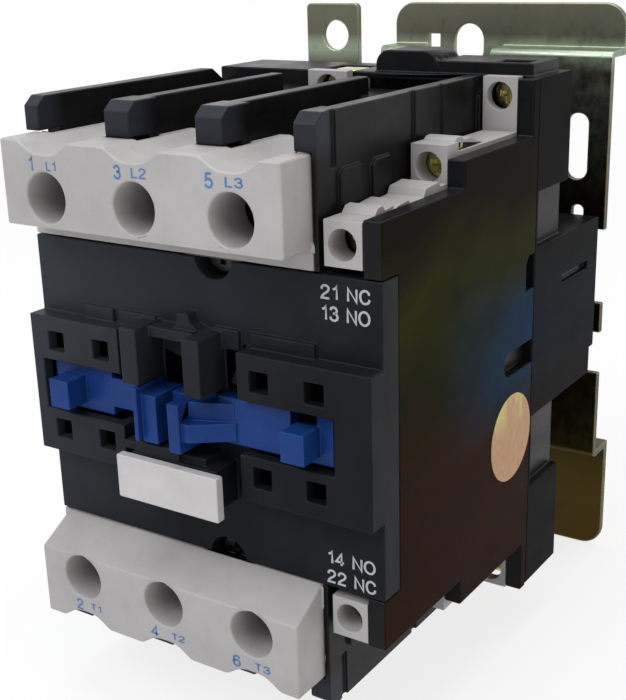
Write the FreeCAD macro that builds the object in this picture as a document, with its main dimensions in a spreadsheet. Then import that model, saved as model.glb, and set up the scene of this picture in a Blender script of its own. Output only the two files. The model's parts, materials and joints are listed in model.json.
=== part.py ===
"""Three-pole magnetic contactor: a moulded body on a zinc plate for panel or rail mounting.

Frame: X to the right, Y into the wall, Z up. The origin is the centre of the wall plane, so
every piece lies at negative Y; the code gives depths as positive distances from the wall.
Lengths are in millimetres.
"""
import FreeCAD, Part
import math
import os
import Sketcher

DOC = FreeCAD.newDocument("motor_starter")
SHEET = DOC.addObject("Spreadsheet::Sheet", "Dimensions")

# Driving dimensions. Names ending in _depth, _front and _back are distances from the wall.
DIMENSIONS = {
    # overall body
    "body_width": 75.0,
    "body_height": 128.8,
    "body_depth": 114.0,
    "side_wall": 3.4,
    "seam_depth": 46.8,
    "gap": 0.1,
    # front cover and its raised band
    "cover_front": 105.8,
    "cover_back": 100.6,
    "cover_reach": 28.1,
    "cover_skin": 2.4,
    "band_front": 109.6,
    "band_reach": 13.6,
    "centre_line": -2.3,
    "bay_reach": 13.3,
    "post_front": 113.2,
    "slot_reach": 32.6,
    "slot_rise": 5.0,
    "window_size": 3.8,
    "window_far": 28.9,
    "window_near": 17.8,
    "window_rise": 8.8,
    "cover_screw_place": 4.2,
    "cover_screw_rise": 28.5,
    # poles
    "pole_centre": -5.5,
    "pole_pitch": 20.2,
    "access_rise": 37.3,
    "access_radius": 4.5,
    # power terminal guards
    "guard_left": -35.9,
    "guard_right": 24.7,
    "guard_back": 105.0,
    "lip_back": 101.0,
    "tube_back": 103.5,
    "floor_back": 88.1,
    "guard_low": 31.9,
    "guard_top": 47.25,
    "trough_half": 6.6,
    "trough_floor": 45.0,
    # barriers between poles
    "barrier_top": 53.6,
    "barrier_half": 1.5,
    "barrier_head": 2.8,
    "barrier_edge": 47.4,
    "chamber_reach": 29.0,
    "chamber_skin": 3.0,
    # auxiliary column at the right
    "column_left": 26.9,
    "column_right": 34.0,
    "column_axis": 30.3,
    "step_one_front": 105.8,
    "step_two_front": 77.5,
    "step_three_front": 49.3,
    "step_one_rise": 33.3,
    "step_two_rise": 41.1,
    "step_three_rise": 50.0,
    "small_access": 2.65,
    # base, magnet and coil
    "base_reach": 53.3,
    "base_tray_back": 31.0,
    "base_back": 12.8,
    "foot_back": 9.0,
    "core_half_width": 30.0,
    "core_half_stack": 13.0,
    "core_centre_leg": 9.0,
    "core_outer_leg": 21.0,
    "core_back": 16.8,
    "core_yoke": 9.0,
    "core_face": 38.0,
    "coil_start_axis": -8.3,
    # moving system
    "travel": 6.0,
    "carrier_front": 95.0,
    "carrier_back": 62.0,
    "carrier_rise": 6.0,
    "bridge_front": 82.5,
    "bridge_thick": 2.5,
    "bridge_reach": 15.0,
    "tip_rise": 11.0,
    "tip_radius": 3.2,
    "tip_thick": 1.0,
    "bar_rise": 4.3,
    "bar_front": 107.8,
    "bar_back": 104.8,
    # mounting plate and rail latch
    "plate_thick": 1.5,
    "rail_depth": 7.5,
    "rail_half": 17.5,
    "slot_axis": 0.0,
    "slot_spread": 55.0,
    "slot_radius": 3.7,
    "slot_extra": 1.0,
    "latch_left": -37.5,
    "latch_width": 11.3,
    "latch_flare": 3.4,
    "latch_hole_place": -32.7,
    "latch_hole": 3.5,
    "latch_hole_rise": 57.0,
}


def fill_sheet():
    """Puts each driving dimension in its own cell, with its name as the alias."""
    for row, (name, size) in enumerate(DIMENSIONS.items(), start=1):
        SHEET.set(f"A{row}", name)
        SHEET.set(f"B{row}", str(size))
        SHEET.setAlias(f"B{row}", name)
    DOC.recompute()


class Term:
    """A length that knows its value and the sheet expression it comes from."""

    def __init__(self, value, text):
        self.value = value
        self.text = text

    def __add__(self, other):
        other = term(other)
        return Term(self.value + other.value, f"({self.text} + {other.text})")

    def __radd__(self, other):
        return term(other) + self

    def __sub__(self, other):
        other = term(other)
        return Term(self.value - other.value, f"({self.text} - {other.text})")

    def __rsub__(self, other):
        return term(other) - self

    def __mul__(self, factor):
        return Term(self.value * factor, f"({self.text} * {factor})")

    __rmul__ = __mul__

    def __truediv__(self, divisor):
        return Term(self.value / divisor, f"({self.text} / {divisor})")

    def __neg__(self):
        return Term(-self.value, f"(0 - {self.text})")


def term(size):
    """A Term as it is, or a plain number made into one."""
    if isinstance(size, Term):
        return size
    return Term(float(size), f"({float(size)})")


class Sizes:
    """Gives a driving dimension by name, as in D.body_width."""

    def __getattr__(self, name):
        return Term(DIMENSIONS[name], f"Dimensions.{name}")


D = Sizes()
HALF_WIDTH = D.body_width / 2
HALF_HEIGHT = D.body_height / 2
POLES = [D.pole_centre - D.pole_pitch, D.pole_centre, D.pole_centre + D.pole_pitch]
BARRIERS = [D.pole_centre - D.pole_pitch / 2 + 0.3, D.pole_centre + D.pole_pitch / 2 + 0.2, term(24.35)]
SIDES = (1, -1)
TOLERANCE = 0.01


def bind(piece, prop, size):
    piece.setExpression(prop, term(size).text)


def place(piece, x, y, z):
    bind(piece, ".Placement.Base.x", x)
    bind(piece, ".Placement.Base.y", y)
    bind(piece, ".Placement.Base.z", z)


def ordered(pair):
    """The two ends of a span, lower first, so that a mirrored span can be given as it falls."""
    low, high = term(pair[0]), term(pair[1])
    return (low, high) if low.value < high.value else (high, low)


def box(name, across, depths, heights):
    """A block from its X span, its front and back depths from the wall, and its Z span."""
    left, right = ordered(across)
    back, front = ordered(depths)
    low, high = ordered(heights)
    piece = DOC.addObject("Part::Box", name)
    bind(piece, "Length", right - left)
    bind(piece, "Width", front - back)
    bind(piece, "Height", high - low)
    place(piece, left, -front, low)
    return piece


def rod(name, radius, direction, start, length):
    """A cylinder that starts at (x, depth, z) and runs along +X, +Y or +Z."""
    turns = {
        "x": FreeCAD.Rotation(FreeCAD.Vector(0, 1, 0), 90),
        "y": FreeCAD.Rotation(FreeCAD.Vector(1, 0, 0), -90),
        "z": FreeCAD.Rotation(),
    }
    piece = DOC.addObject("Part::Cylinder", name)
    bind(piece, "Radius", radius)
    bind(piece, "Height", length)
    piece.Placement = FreeCAD.Placement(FreeCAD.Vector(), turns[direction])
    place(piece, start[0], -term(start[1]), start[2])
    return piece


def bore(name, radius, x, z, depths):
    """A cylinder along Y at (x, z), between two depths."""
    back, front = ordered(depths)
    return rod(name, radius, "y", (x, front, z), front - back)


def join(name, pieces):
    if len(pieces) == 1:
        return pieces[0]
    piece = DOC.addObject("Part::MultiFuse", name)
    piece.Shapes = pieces
    piece.Refine = True
    return piece


def cut(name, base, tools):
    piece = DOC.addObject("Part::Cut", name)
    piece.Base = base
    piece.Tool = join(name + "_cuts", tools)
    piece.Refine = True
    return piece


def group(name, pieces):
    """Separate solids that share one node."""
    piece = DOC.addObject("Part::Compound", name)
    piece.Links = pieces
    return piece


def origin_plane(body, role):
    return next(f for f in body.Origin.OriginFeatures if f.Role == role)


def prism(name, role, outline, offset, length, reverse):
    """A padded body from an outline whose corners are all dimensioned from the origin."""
    body = DOC.addObject("PartDesign::Body", name)
    sketch = body.newObject("Sketcher::SketchObject", name + "_outline")
    sketch.AttachmentSupport = [(origin_plane(body, role), "")]
    sketch.MapMode = "FlatFace"
    bind(sketch, ".AttachmentOffset.Base.z", offset)
    corners = [(term(a), term(b)) for a, b in outline]
    count = len(corners)
    for i, (a, b) in enumerate(corners):
        c, d = corners[(i + 1) % count]
        start = FreeCAD.Vector(a.value, b.value, 0)
        end = FreeCAD.Vector(c.value, d.value, 0)
        sketch.addGeometry(Part.LineSegment(start, end), False)
    for i, (a, b) in enumerate(corners):
        sketch.addConstraint(Sketcher.Constraint("Coincident", i, 2, (i + 1) % count, 1))
        for kind, size in (("DistanceX", a), ("DistanceY", b)):
            index = sketch.addConstraint(Sketcher.Constraint(kind, -1, 1, i, 1, size.value))
            sketch.setExpression(f"Constraints[{index}]", size.text)
    pad = body.newObject("PartDesign::Pad", name + "_pad")
    pad.Profile = sketch
    pad.Reversed = reverse
    bind(pad, "Length", length)
    body.Tip = pad
    sketch.Visibility = False
    return body


def side_prism(name, outline, across):
    """A prism along X from (depth, z) corners."""
    left, right = ordered(across)
    corners = [(-term(depth), z) for depth, z in outline]
    return prism(name, "YZ_Plane", corners, left, right - left, False)


def front_prism(name, outline, depths):
    """A prism along Y from (x, z) corners."""
    back, front = ordered(depths)
    return prism(name, "XZ_Plane", outline, front, front - back, True)


def level_prism(name, outline, heights):
    """A prism along Z from (x, depth) corners."""
    low, high = ordered(heights)
    corners = [(x, -term(depth)) for x, depth in outline]
    return prism(name, "XY_Plane", corners, low, high - low, False)


def rounded(name, base, radius, chosen):
    """The base with each edge that chosen() picks rounded to one radius."""
    DOC.recompute()
    piece = DOC.addObject("Part::Fillet", name)
    piece.Base = base
    edges = [i for i, edge in enumerate(base.Shape.Edges, start=1) if chosen(edge)]
    piece.Edges = [(i, radius, radius) for i in edges]
    return piece


def runs_along(edge, direction):
    """True for a straight edge parallel to the direction."""
    if edge.Curve.TypeId != "Part::GeomLine":
        return False
    along = edge.Curve.Direction
    return abs(abs(along.dot(direction)) - 1) < TOLERANCE


def coil_spring(name, radius, wire, turns, placement_of, ends):
    """A closed helical spring between two ends on its own axis, sized from the sheet."""
    low, high = ordered(ends)
    length = high.value - low.value - 2 * wire
    helix = Part.makeHelix(length / turns, length, radius)
    section = Part.Circle(FreeCAD.Vector(radius, 0, 0), FreeCAD.Vector(0, 1, 0), wire).toShape()
    solid = Part.Wire(helix.Edges).makePipeShell([Part.Wire([section])], True, True)
    piece = DOC.addObject("Part::Feature", name)
    piece.Shape = solid
    piece.Placement = placement_of(low.value + wire, high.value - wire)
    return piece


def cross_recess(name, x, z, front, arm, depth):
    """The two crossed slots of a cross-head screw, to be cut from its head."""
    thin = arm * 0.28
    front = term(front)
    upright = box(name + "_upright", (x - thin, x + thin), (front + 0.1, front - depth), (z - arm, z + arm))
    level = box(name + "_level", (x - arm, x + arm), (front + 0.1, front - depth), (z - thin, z + thin))
    return [upright, level]


def screw(name, x, z, head, shank):
    """A cross-head screw along Y. head and shank are each (radius, front depth, back depth)."""
    x, z = term(x), term(z)
    body = join(name + "_blank", [
        bore(name + "_head", head[0], x, z, head[1:]),
        bore(name + "_shank", shank[0], x, z, shank[1:]),
    ])
    arm = term(head[0]).value * 0.62
    return cut(name, body, cross_recess(name + "_recess", x, z, head[1], arm, 1.1))


# ---------------------------------------------------------------- mounting plate and rail latch


def mounting_plate():
    """Pressed plate: a raised middle that clears a 35 mm rail, and flanges on the wall."""
    front = D.rail_depth + D.plate_thick
    rear = D.rail_depth
    foot = D.plate_thick
    web_top = term(55.0)
    web_low = term(-36.7)
    tongue = (-7.5, 8.9)
    tongue_low = term(46.5)
    relief_left = -10.4
    flange_left = -19.3
    waist = (-17.0, 16.5)
    waist_half = term(34.0)
    ear = (-7.3, -0.3)
    panel = box("plate_panel", (-HALF_WIDTH, HALF_WIDTH), (front, rear), (web_low, web_top))
    through = lambda e: runs_along(e, FreeCAD.Vector(0, 1, 0))
    window = box("plate_window", (28.0, 32.7), (front, rear), (27.3, 41.7))
    slit = box("plate_slit", (29.7, 32.3), (front, rear), (15.0, 21.6))
    notches = [
        box("plate_notch_left", (-HALF_WIDTH, -waist_half), (front, rear), waist),
        box("plate_notch_right", (HALF_WIDTH, waist_half), (front, rear), waist),
        box("plate_corner", (-HALF_WIDTH, flange_left), (front, rear), (50.0, web_top)),
        box("plate_tongue_room", (relief_left, tongue[1]), (front, rear), (tongue_low + 1.5, web_top)),
        rounded("plate_window_round", window, 2.2, through),
        rounded("plate_slit_round", slit, 1.2, through),
    ]
    for side_x in SIDES:
        for side_z in SIDES:
            notches.append(bore("plate_screw_hole", 2.2, 22 * side_x, 6 * side_z, (front, rear)))
    panel = cut("plate_panel_cut", panel, notches)
    solids = [panel]
    for side in SIDES:
        solids.append(box("plate_ear", (side * waist_half, side * HALF_WIDTH), (front, rear), ear))
    top_spans = ((flange_left, relief_left), (tongue[1], HALF_WIDTH))
    for span in top_spans:
        solids.append(box("plate_top_web", span, (front, 0), (web_top - foot, web_top)))
    solids.append(box("plate_tongue_web", tongue, (front, 0), (tongue_low, tongue_low + foot)))
    solids.append(box("plate_low_web", (-HALF_WIDTH, HALF_WIDTH), (front, 0), (web_low - foot, web_low)))
    flange = box("plate_top_flange", (flange_left, HALF_WIDTH), (foot, 0), (web_top - foot, HALF_HEIGHT))
    relief = box("plate_relief", (relief_left, tongue[0]), (foot, 0), (web_top - foot, 57.3))
    flange = cut("plate_top_flange_cut", flange, [relief])
    at_top = lambda e: runs_along(e, FreeCAD.Vector(0, 1, 0)) and e.CenterOfMass.z > HALF_HEIGHT.value - 1
    solids.append(rounded("plate_top_flange_round", flange, 5.0, at_top))
    solids.append(box("plate_tongue", tongue, (foot, 0), (tongue_low, web_top)))
    low_flange = box("plate_low_flange", (-HALF_WIDTH, HALF_WIDTH), (foot, 0), (web_low - foot, -HALF_HEIGHT))
    at_foot = lambda e: runs_along(e, FreeCAD.Vector(0, 1, 0)) and e.CenterOfMass.z < 1 - HALF_HEIGHT.value
    solids.append(rounded("plate_low_flange_round", low_flange, 5.0, at_foot))
    for side in SIDES:
        hook = (side * 20 - 5, side * 20 + 5)
        low = -D.rail_half - 2.3
        solids.append(box("plate_hook_foot", hook, (rear, rear - 2.8), (low, low + foot)))
        solids.append(box("plate_hook_lip", hook, (rear - 1.3, rear - 2.8), (low, low + 4.3)))
    for left in (-17.0, 2.5):
        strap = (left, left + 6.0)
        solids.append(box("plate_strap", strap, (rear - 2.1, rear - 3.3), (29.5, 46.4)))
        solids.append(box("plate_strap_low", strap, (rear, rear - 3.3), (29.5, 31.0)))
        solids.append(box("plate_strap_top", strap, (rear, rear - 3.3), (45.2, 46.4)))
    sharp = join("mounting_plate_sharp", solids)
    bend_rises = (web_top.value, (web_low - foot).value)

    def at_bend(edge):
        """True for the outer edge of either of the two long bends."""
        middle = edge.CenterOfMass
        at_front = abs(middle.y + front.value) < TOLERANCE
        at_rise = min(abs(middle.z - rise) for rise in bend_rises) < TOLERANCE
        return at_front and at_rise and runs_along(edge, FreeCAD.Vector(1, 0, 0))

    blank = rounded("mounting_plate_blank", sharp, 1.45, at_bend)
    slots = []
    for side in SIDES:
        middle = side * D.slot_spread
        for end in SIDES:
            rise = middle + end * D.slot_extra
            slots.append(bore("plate_slot_end", D.slot_radius, D.slot_axis, rise, (2, -1)))
        across = (D.slot_axis - D.slot_radius, D.slot_axis + D.slot_radius)
        slots.append(box("plate_slot", across, (2, -1), (middle - D.slot_extra, middle + D.slot_extra)))
    return cut("mounting_plate", blank, slots)


def rail_latch():
    """Sprung slider behind the plate: pulled up by its top ring to free the rail's upper edge."""
    front = D.rail_depth - 0.1
    back = front - D.plate_thick
    foot = D.rail_half + 0.5
    right = D.latch_left + D.latch_width
    strip = box("latch_strip", (D.latch_left, right), (front, back), (foot, 45.0))
    at_top = lambda e: runs_along(e, FreeCAD.Vector(0, 1, 0)) and e.CenterOfMass.z > HALF_HEIGHT.value - 1
    head = box("latch_head", (D.latch_left - D.latch_flare, right), (front, back), (44.0, HALF_HEIGHT))
    head = rounded("latch_head_round", head, 1.2, at_top)
    solids = [
        strip,
        head,
        box("latch_bar", (right - 1, 26.0), (front, back), (35.0, 41.0)),
        box("latch_leg", (14.0, 26.0), (front, back), (foot, 36.0)),
    ]
    for left in (-36.5, 14.0):
        solids.append(box("latch_lip", (left, left + 10), (back + 0.3, back - 1.2), (foot - 2.8, 24.0)))
    blank = join("rail_latch_blank", solids)
    ring = bore("latch_ring", D.latch_hole, D.latch_hole_place, D.latch_hole_rise, (9, 4))
    return cut("rail_latch", blank, [ring])


def latch_spring():
    """Pushes the rail latch down against the plate's top web."""
    def stand(low, high):
        return FreeCAD.Placement(FreeCAD.Vector(20, -5.9, low), FreeCAD.Rotation())
    return coil_spring("latch_spring", 1.15, 0.25, 8, stand, (41.05, 53.45))


def plate_screws():
    screws = []
    for side_x in SIDES:
        for side_z in SIDES:
            name = f"plate_screw_{len(screws) + 1}"
            x, z = 22 * side_x, 6 * side_z
            blank = join(name + "_blank", [
                bore(name + "_head", 3.4, x, z, (D.rail_depth, D.rail_depth - 1.9)),
                bore(name + "_shank", 2.0, x, z, (14.8, D.rail_depth)),
            ])
            slot = cross_recess(name + "_slot", term(x), term(z), D.rail_depth - 0.8, 2.1, 1.2)
            screws.append(cut(name, blank, slot))
    return group("plate_screws", screws)


# ---------------------------------------------------------------- base, magnet and coil


def base_housing():
    """Rear moulding: a tray at the seam, a block for the magnet, and feet on the plate."""
    solids = [
        box("base_tray", (-HALF_WIDTH, HALF_WIDTH), (D.seam_depth, D.base_tray_back), (-53.0, D.base_reach)),
        box("base_block", (-HALF_WIDTH, HALF_WIDTH), (D.base_tray_back, D.base_back), (-9.0, 20.4)),
        box("base_block_low", (-HALF_WIDTH, HALF_WIDTH), (D.base_tray_back, 15.2), (-14.8, -8.0)),
        box("base_core_shell", (-33.5, 33.5), (D.base_tray_back, 13.2), (-16.5, 17.0)),
        box("base_well", (-26.0, 26.0), (D.base_tray_back, 20.0), (-28.0, 30.0)),
        box("base_foot", (-32.0, 32.0), (D.base_back, D.foot_back), (-14.0, 18.0)),
        box("base_slab", (14.5, 35.4), (45.4, 33.0), (D.base_reach - 0.5, 55.8)),
    ]
    hump = box("base_hump", (1.2, 15.2), (45.8, 36.0), (D.base_reach - 1, 57.6))
    on_top = lambda e: runs_along(e, FreeCAD.Vector(0, 1, 0)) and e.CenterOfMass.z > 57
    hump_round = rounded("base_hump_round", hump, 3.0, on_top)
    flutes = []
    for middle in (43.6, 41.2, 38.8):
        flutes.append(box("hump_flute", (14.6, 16.0), (middle + 0.7, middle - 0.7), (50.0, 60.0)))
    solids.append(cut("base_hump_fluted", hump_round, flutes))
    blank = join("base_housing_blank", solids)
    seam = D.seam_depth
    tools = [
        box("base_armature_room", (-34.6, 34.6), (seam, 41.0), (-28.0, 28.0)),
        box("base_coil_room", (-23.8, 23.8), (seam, 24.5), (-26.0, 26.0)),
        box("base_core_room", (-31.0, 31.0), (seam, 15.3), (-14.5, 14.5)),
        box("base_terminal_room", (-14.0, 34.4), (seam, 36.0), (39.0, 52.0)),
        box("base_arm_room", (-13.0, -3.6), (seam, 36.0), (26.0, 40.0)),
        box("base_start_mouth", (-12.6, -4.0), (seam, 36.0), (50.0, 60.0)),
        box("base_end_room", (26.4, 34.2), (seam, 36.0), (50.0, 53.2)),
        box("base_end_mouth", (27.0, 33.6), (44.4, 39.6), (51.0, 60.0)),
        box("base_low_mouth", (26.4, 34.2), (seam, 40.95), (-60.0, -39.0)),
        bore("base_low_tap", 1.6, D.column_axis, -D.step_three_rise, (41.0, 35.0)),
    ]
    for side in SIDES:
        outer = (side * 35.7, side * (HALF_WIDTH + 1))
        tools.append(box("base_side_recess", outer, (45.8, 30.9), (20.4, 31.6)))
        tools.append(box("base_low_recess", outer, (45.8, 30.9), (-30.6, -14.9)))
        groove = (side * 36.4, side * (HALF_WIDTH + 1))
        tools.append(box("base_groove", groove, (32.6, 18.6), (10.2, 11.8)))
        for low in SIDES:
            tools.append(bore("base_screw_hole", 1.6, 31.0 * side, 33.5 * low, (seam, 34.8)))
            tools.append(bore("base_plate_hole", 2.1, 22 * side, 6 * low, (15.0, D.foot_back)))
    return cut("base_housing", blank, tools)


def magnet_outline(face, yoke_front, back):
    """The E shape of a magnet half in X and depth, with a slightly short centre leg."""
    wide, outer, centre = D.core_half_width, D.core_outer_leg, D.core_centre_leg
    short = face - 0.2 if term(face).value > term(back).value else face + 0.2
    return [
        (-wide, back), (wide, back), (wide, face), (outer, face), (outer, yoke_front),
        (centre, yoke_front), (centre, short), (-centre, short), (-centre, yoke_front),
        (-outer, yoke_front), (-outer, face), (-wide, face),
    ]


def fixed_core():
    """Laminated E core with a groove in each outer pole face for its shading ring."""
    stack = (-D.core_half_stack, D.core_half_stack)
    outline = magnet_outline(D.core_face, D.core_back + D.core_yoke, D.core_back)
    blank = level_prism("fixed_core_blank", outline, stack)
    grooves = []
    for side in SIDES:
        grooves.append(box("core_groove", (side * 24.5, side * 26.0), (D.core_face + 1, 35.4), (-14.0, 14.0)))
    return cut("fixed_core", blank, grooves)


def shading_rings():
    rings = []
    for side in SIDES:
        outer = box("ring_outer", (side * 24.6, side * 30.9), (37.6, 35.5), (-14.3, 14.3))
        inner = box("ring_inner", (side * 25.9, side * 30.05), (38.0, 35.0), (-13.05, 13.05))
        rings.append(cut(f"shading_ring_{len(rings) + 1}", outer, [inner]))
    return group("shading_rings", rings)


def core_cushion():
    """Rubber pad that takes the blow of the magnet closing."""
    return box("core_cushion", (-28.0, 28.0), (D.core_back, 15.3), (-12.5, 12.5))


def coil_bobbin():
    """Winding former with an arm that carries the coil terminals at the top."""
    front, back = 43.0, 26.6
    solids = [
        box("bobbin_tube", (-10.7, 10.7), (front, back), (-14.7, 14.7)),
        box("bobbin_front_flange", (-20.6, 20.6), (front, front - 1.4), (-24.0, 24.0)),
        box("bobbin_back_flange", (-20.6, 20.6), (back + 1.4, back), (-24.0, 24.0)),
        box("bobbin_arm", (-12.0, -4.8), (front, 37.0), (23.45, 41.0)),
        box("bobbin_rail", (-12.6, 33.6), (41.0, 37.0), (39.5, 43.0)),
    ]
    for axis in (D.coil_start_axis, D.column_axis):
        solids.append(box("bobbin_seat", (axis - 2.9, axis + 2.9), (41.0, 37.0), (42.0, 53.0)))
    blank = join("coil_bobbin_blank", solids)
    tools = [box("bobbin_bore", (-9.5, 9.5), (50.0, 20.0), (-13.5, 13.5))]
    for axis in (D.coil_start_axis, D.column_axis):
        tools.append(bore("bobbin_tap", 1.6, axis, D.step_three_rise, (45.0, 36.0)))
    return cut("coil_bobbin", blank, tools)


def coil_winding():
    outer = box("winding_outer", (-20.0, 20.0), (41.55, 28.05), (-23.4, 23.4))
    inner = box("winding_inner", (-10.75, 10.75), (42.0, 28.0), (-14.75, 14.75))
    return cut("coil_winding", outer, [inner])


def coil_terminal_places():
    """X and Z of the coil's start, its end, and the end's second terminal at the bottom."""
    return [
        (D.coil_start_axis, D.step_three_rise),
        (D.column_axis, D.step_three_rise),
        (D.column_axis, -D.step_three_rise),
    ]


def coil_terminals():
    tags = []
    for x, z in coil_terminal_places():
        name = f"coil_terminal_{len(tags) + 1}"
        tag = box(name + "_blank", (x - 2.6, x + 2.6), (41.8, 41.0), (z - 6.0, z + 3.0))
        if z.value < 0:
            tag = box(name + "_low", (x - 2.6, x + 2.6), (41.8, 41.0), (z - 3.0, z + 6.0))
        tags.append(cut(name, tag, [bore(name + "_hole", 1.65, x, z, (43.0, 40.0))]))
    return group("coil_terminals", tags)


def coil_terminal_screws():
    screws = []
    for x, z in coil_terminal_places():
        name = f"coil_screw_{len(screws) + 1}"
        screws.append(screw(name, x, z, (2.9, 44.7, 42.5), (1.5, 42.5, 36.6)))
    return group("coil_terminal_screws", screws)


# ---------------------------------------------------------------- contact housing


def barrier(name, axis, up, head_across, web_back):
    """Wall between two poles' terminals, with a wide head at its front."""
    head = [
        (100.5, 27.0 * up), (100.5, D.barrier_edge * up), (D.cover_front, D.barrier_edge * up),
        (D.cover_front, 51.9 * up), (103.8, D.barrier_top * up), (97.8, D.barrier_top * up),
        (97.8, 27.0 * up),
    ]
    return [
        side_prism(name + "_head", head, head_across),
        box(name + "_web", (axis - D.barrier_half, axis + D.barrier_half), (98.0, web_back),
            (27.0 * up, D.barrier_top * up)),
    ]


def barriers(up):
    """The three barriers; the last one also closes off the auxiliary column, back to the seam."""
    solids = []
    for index, axis in enumerate(BARRIERS[:2]):
        name = f"barrier_{index + 2}"
        solids += barrier(name, axis, up, (axis - D.barrier_head, axis + D.barrier_head), 57.0)
    axis = BARRIERS[2]
    face = axis + D.barrier_half
    solids += barrier("barrier_4", axis, up, (21.6, face), D.seam_depth)
    solids.append(box("barrier_4_edge", (face - 0.95, face), (D.cover_front, 97.8), (28.3 * up, 47.5 * up)))
    for front, back in ((99.6, 93.0), (89.5, 83.4)):
        catch = [
            (front, 36.0 * up), (front, 43.0 * up), (front - 1.0, 44.0 * up), (back, 44.0 * up),
            (back, 36.0 * up),
        ]
        solids.append(side_prism("barrier_4_catch", catch, (face - 1.0, face + 0.7)))
    return solids


def side_walls():
    left = [(100.5, -47.4), (D.cover_front, -47.4), (D.cover_front, -51.9), (103.8, -D.barrier_top),
            (54.0, -D.barrier_top), (49.0, -50.0), (D.seam_depth, -50.0), (D.seam_depth, 50.0),
            (49.0, 50.0), (54.0, D.barrier_top), (103.8, D.barrier_top), (D.cover_front, 51.9),
            (D.cover_front, 47.4), (100.5, 47.4)]
    steps = [(D.cover_front, 37.7), (D.step_two_front, 37.7), (D.step_two_front, 42.7),
             (D.step_three_front, 42.7), (D.step_three_front, D.base_reach), (D.seam_depth, D.base_reach)]
    right = [(100.5, 28.3), (D.cover_front, 28.3)] + steps
    right += [(depth, -term(z)) for depth, z in reversed(right)]
    return [
        side_prism("housing_left_wall", left, (-HALF_WIDTH, D.side_wall - HALF_WIDTH)),
        side_prism("housing_right_wall", right, (HALF_WIDTH - D.side_wall, HALF_WIDTH)),
    ]


def contact_housing():
    """Front moulding: arc chambers, pole barriers, side walls and the plate at the seam."""
    inner_left = D.side_wall - HALF_WIDTH
    inner_right = HALF_WIDTH - D.side_wall
    reach = D.chamber_reach
    solids = side_walls()
    for up in SIDES:
        solids += barriers(up)
        skin = (up * reach, up * (reach - D.chamber_skin))
        solids.append(box("chamber_skin", (inner_left, inner_right), (100.5, 50.0), skin))
        pole_back = (inner_left, BARRIERS[2])
        solids.append(box("pole_back", pole_back, (60.0, 57.5), (up * (reach - 0.5), up * 50.0)))
        roof = (up * 48.0, up * 50.0)
        solids.append(box("pole_roof", (inner_left, BARRIERS[2] + 1.5), (60.0, D.seam_depth), roof))
        boss = (D.cover_screw_place - 3.5, D.cover_screw_place + 3.5)
        solids.append(box("cover_boss", boss, (100.5, 89.0), (up * 25.0, up * 32.0)))
    for axis in BARRIERS:
        web = (axis - D.barrier_half, axis + D.barrier_half)
        solids.append(box("chamber_web", web, (100.5, 63.0), (0.5 - reach, reach - 0.5)))
    solids.append(box("seam_plate", (inner_left, inner_right), (50.0, D.seam_depth), (-50.0, 50.0)))
    blank = join("contact_housing_blank", solids)
    return cut("contact_housing", blank, housing_openings() + barrier_grooves())


def barrier_grooves():
    """Upright grooves in the outer face of the barrier beside the auxiliary column."""
    face = BARRIERS[2] + D.barrier_half
    grooves = []
    for up in SIDES:
        for front, back in ((101.6, 99.9), (75.4, 73.8), (64.6, 63.4)):
            rise = (44.5 * up, 60.0 * up)
            grooves.append(box("barrier_groove", (face - 0.55, face + 1.0), (front, back), rise))
    return grooves


def housing_openings():
    """Everything that passes through the housing: carrier, terminals, screws and side slots."""
    tools = [
        box("carrier_room", (-33.9, 33.9), (101.0, 50.0), (-8.0, 8.0)),
        box("armature_mouth", (-32.0, 32.0), (51.0, 46.0), (-26.0, 26.0)),
    ]
    for up in SIDES:
        slit = (up * 25.0, up * 30.0)
        for axis in POLES:
            tools.append(box("bar_slit", (axis - 5.3, axis + 5.3), (74.4, 71.1), slit))
        tools.append(box("open_slit", (27.5, 33.1), (86.3, 84.6), slit))
        tools.append(box("closed_slit", (27.5, 33.1), (70.5, 68.8), slit))
        tools.append(box("end_mouth", (26.6, D.column_right + 0.1), (51.0, 46.0), (up * 41.4, up * 56.0)))
        screw_rise = D.cover_screw_rise * up
        tools.append(bore("cover_screw_hole", 1.6, D.cover_screw_place, screw_rise, (101.0, 89.5)))
        for side in SIDES:
            tools.append(bore("housing_screw_hole", 1.7, 31.0 * side, 33.5 * up, (51.0, 46.0)))
    tools.append(box("start_mouth", (-13.4, -3.2), (49.7, 46.0), (41.4, 56.0)))
    outside = (HALF_WIDTH - 2.0, HALF_WIDTH + 1.0)
    upright = [(50.6, 12.9), (50.6, 18.4), (49.4, 19.8), (46.0, 19.8), (46.0, 12.9)]
    tools.append(side_prism("side_slot", upright, outside))
    level = [(46.0, -2.6), (57.6, -2.6), (59.0, -2.0), (59.6, -0.6), (59.4, 1.2), (58.2, 2.2), (46.0, 2.2)]
    tools.append(side_prism("side_notch", level, outside))
    return tools


def housing_screws():
    screws = []
    for side in SIDES:
        for up in SIDES:
            name = f"housing_screw_{len(screws) + 1}"
            screws.append(screw(name, 31.0 * side, 33.5 * up, (3.0, 53.0, 50.05), (1.5, 50.05, 35.0)))
    return group("housing_screws", screws)


# ---------------------------------------------------------------- power terminals


def pole_bars(name, up):
    """The fixed conductors of one side: a flat bar from each clamp into the arc chamber."""
    bars = []
    for axis in POLES:
        bars.append(box(f"{name}_{len(bars) + 1}", (axis - 5.0, axis + 5.0), (74.0, 71.5),
                        (7.5 * up, 43.5 * up)))
    return group(name, bars)


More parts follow.
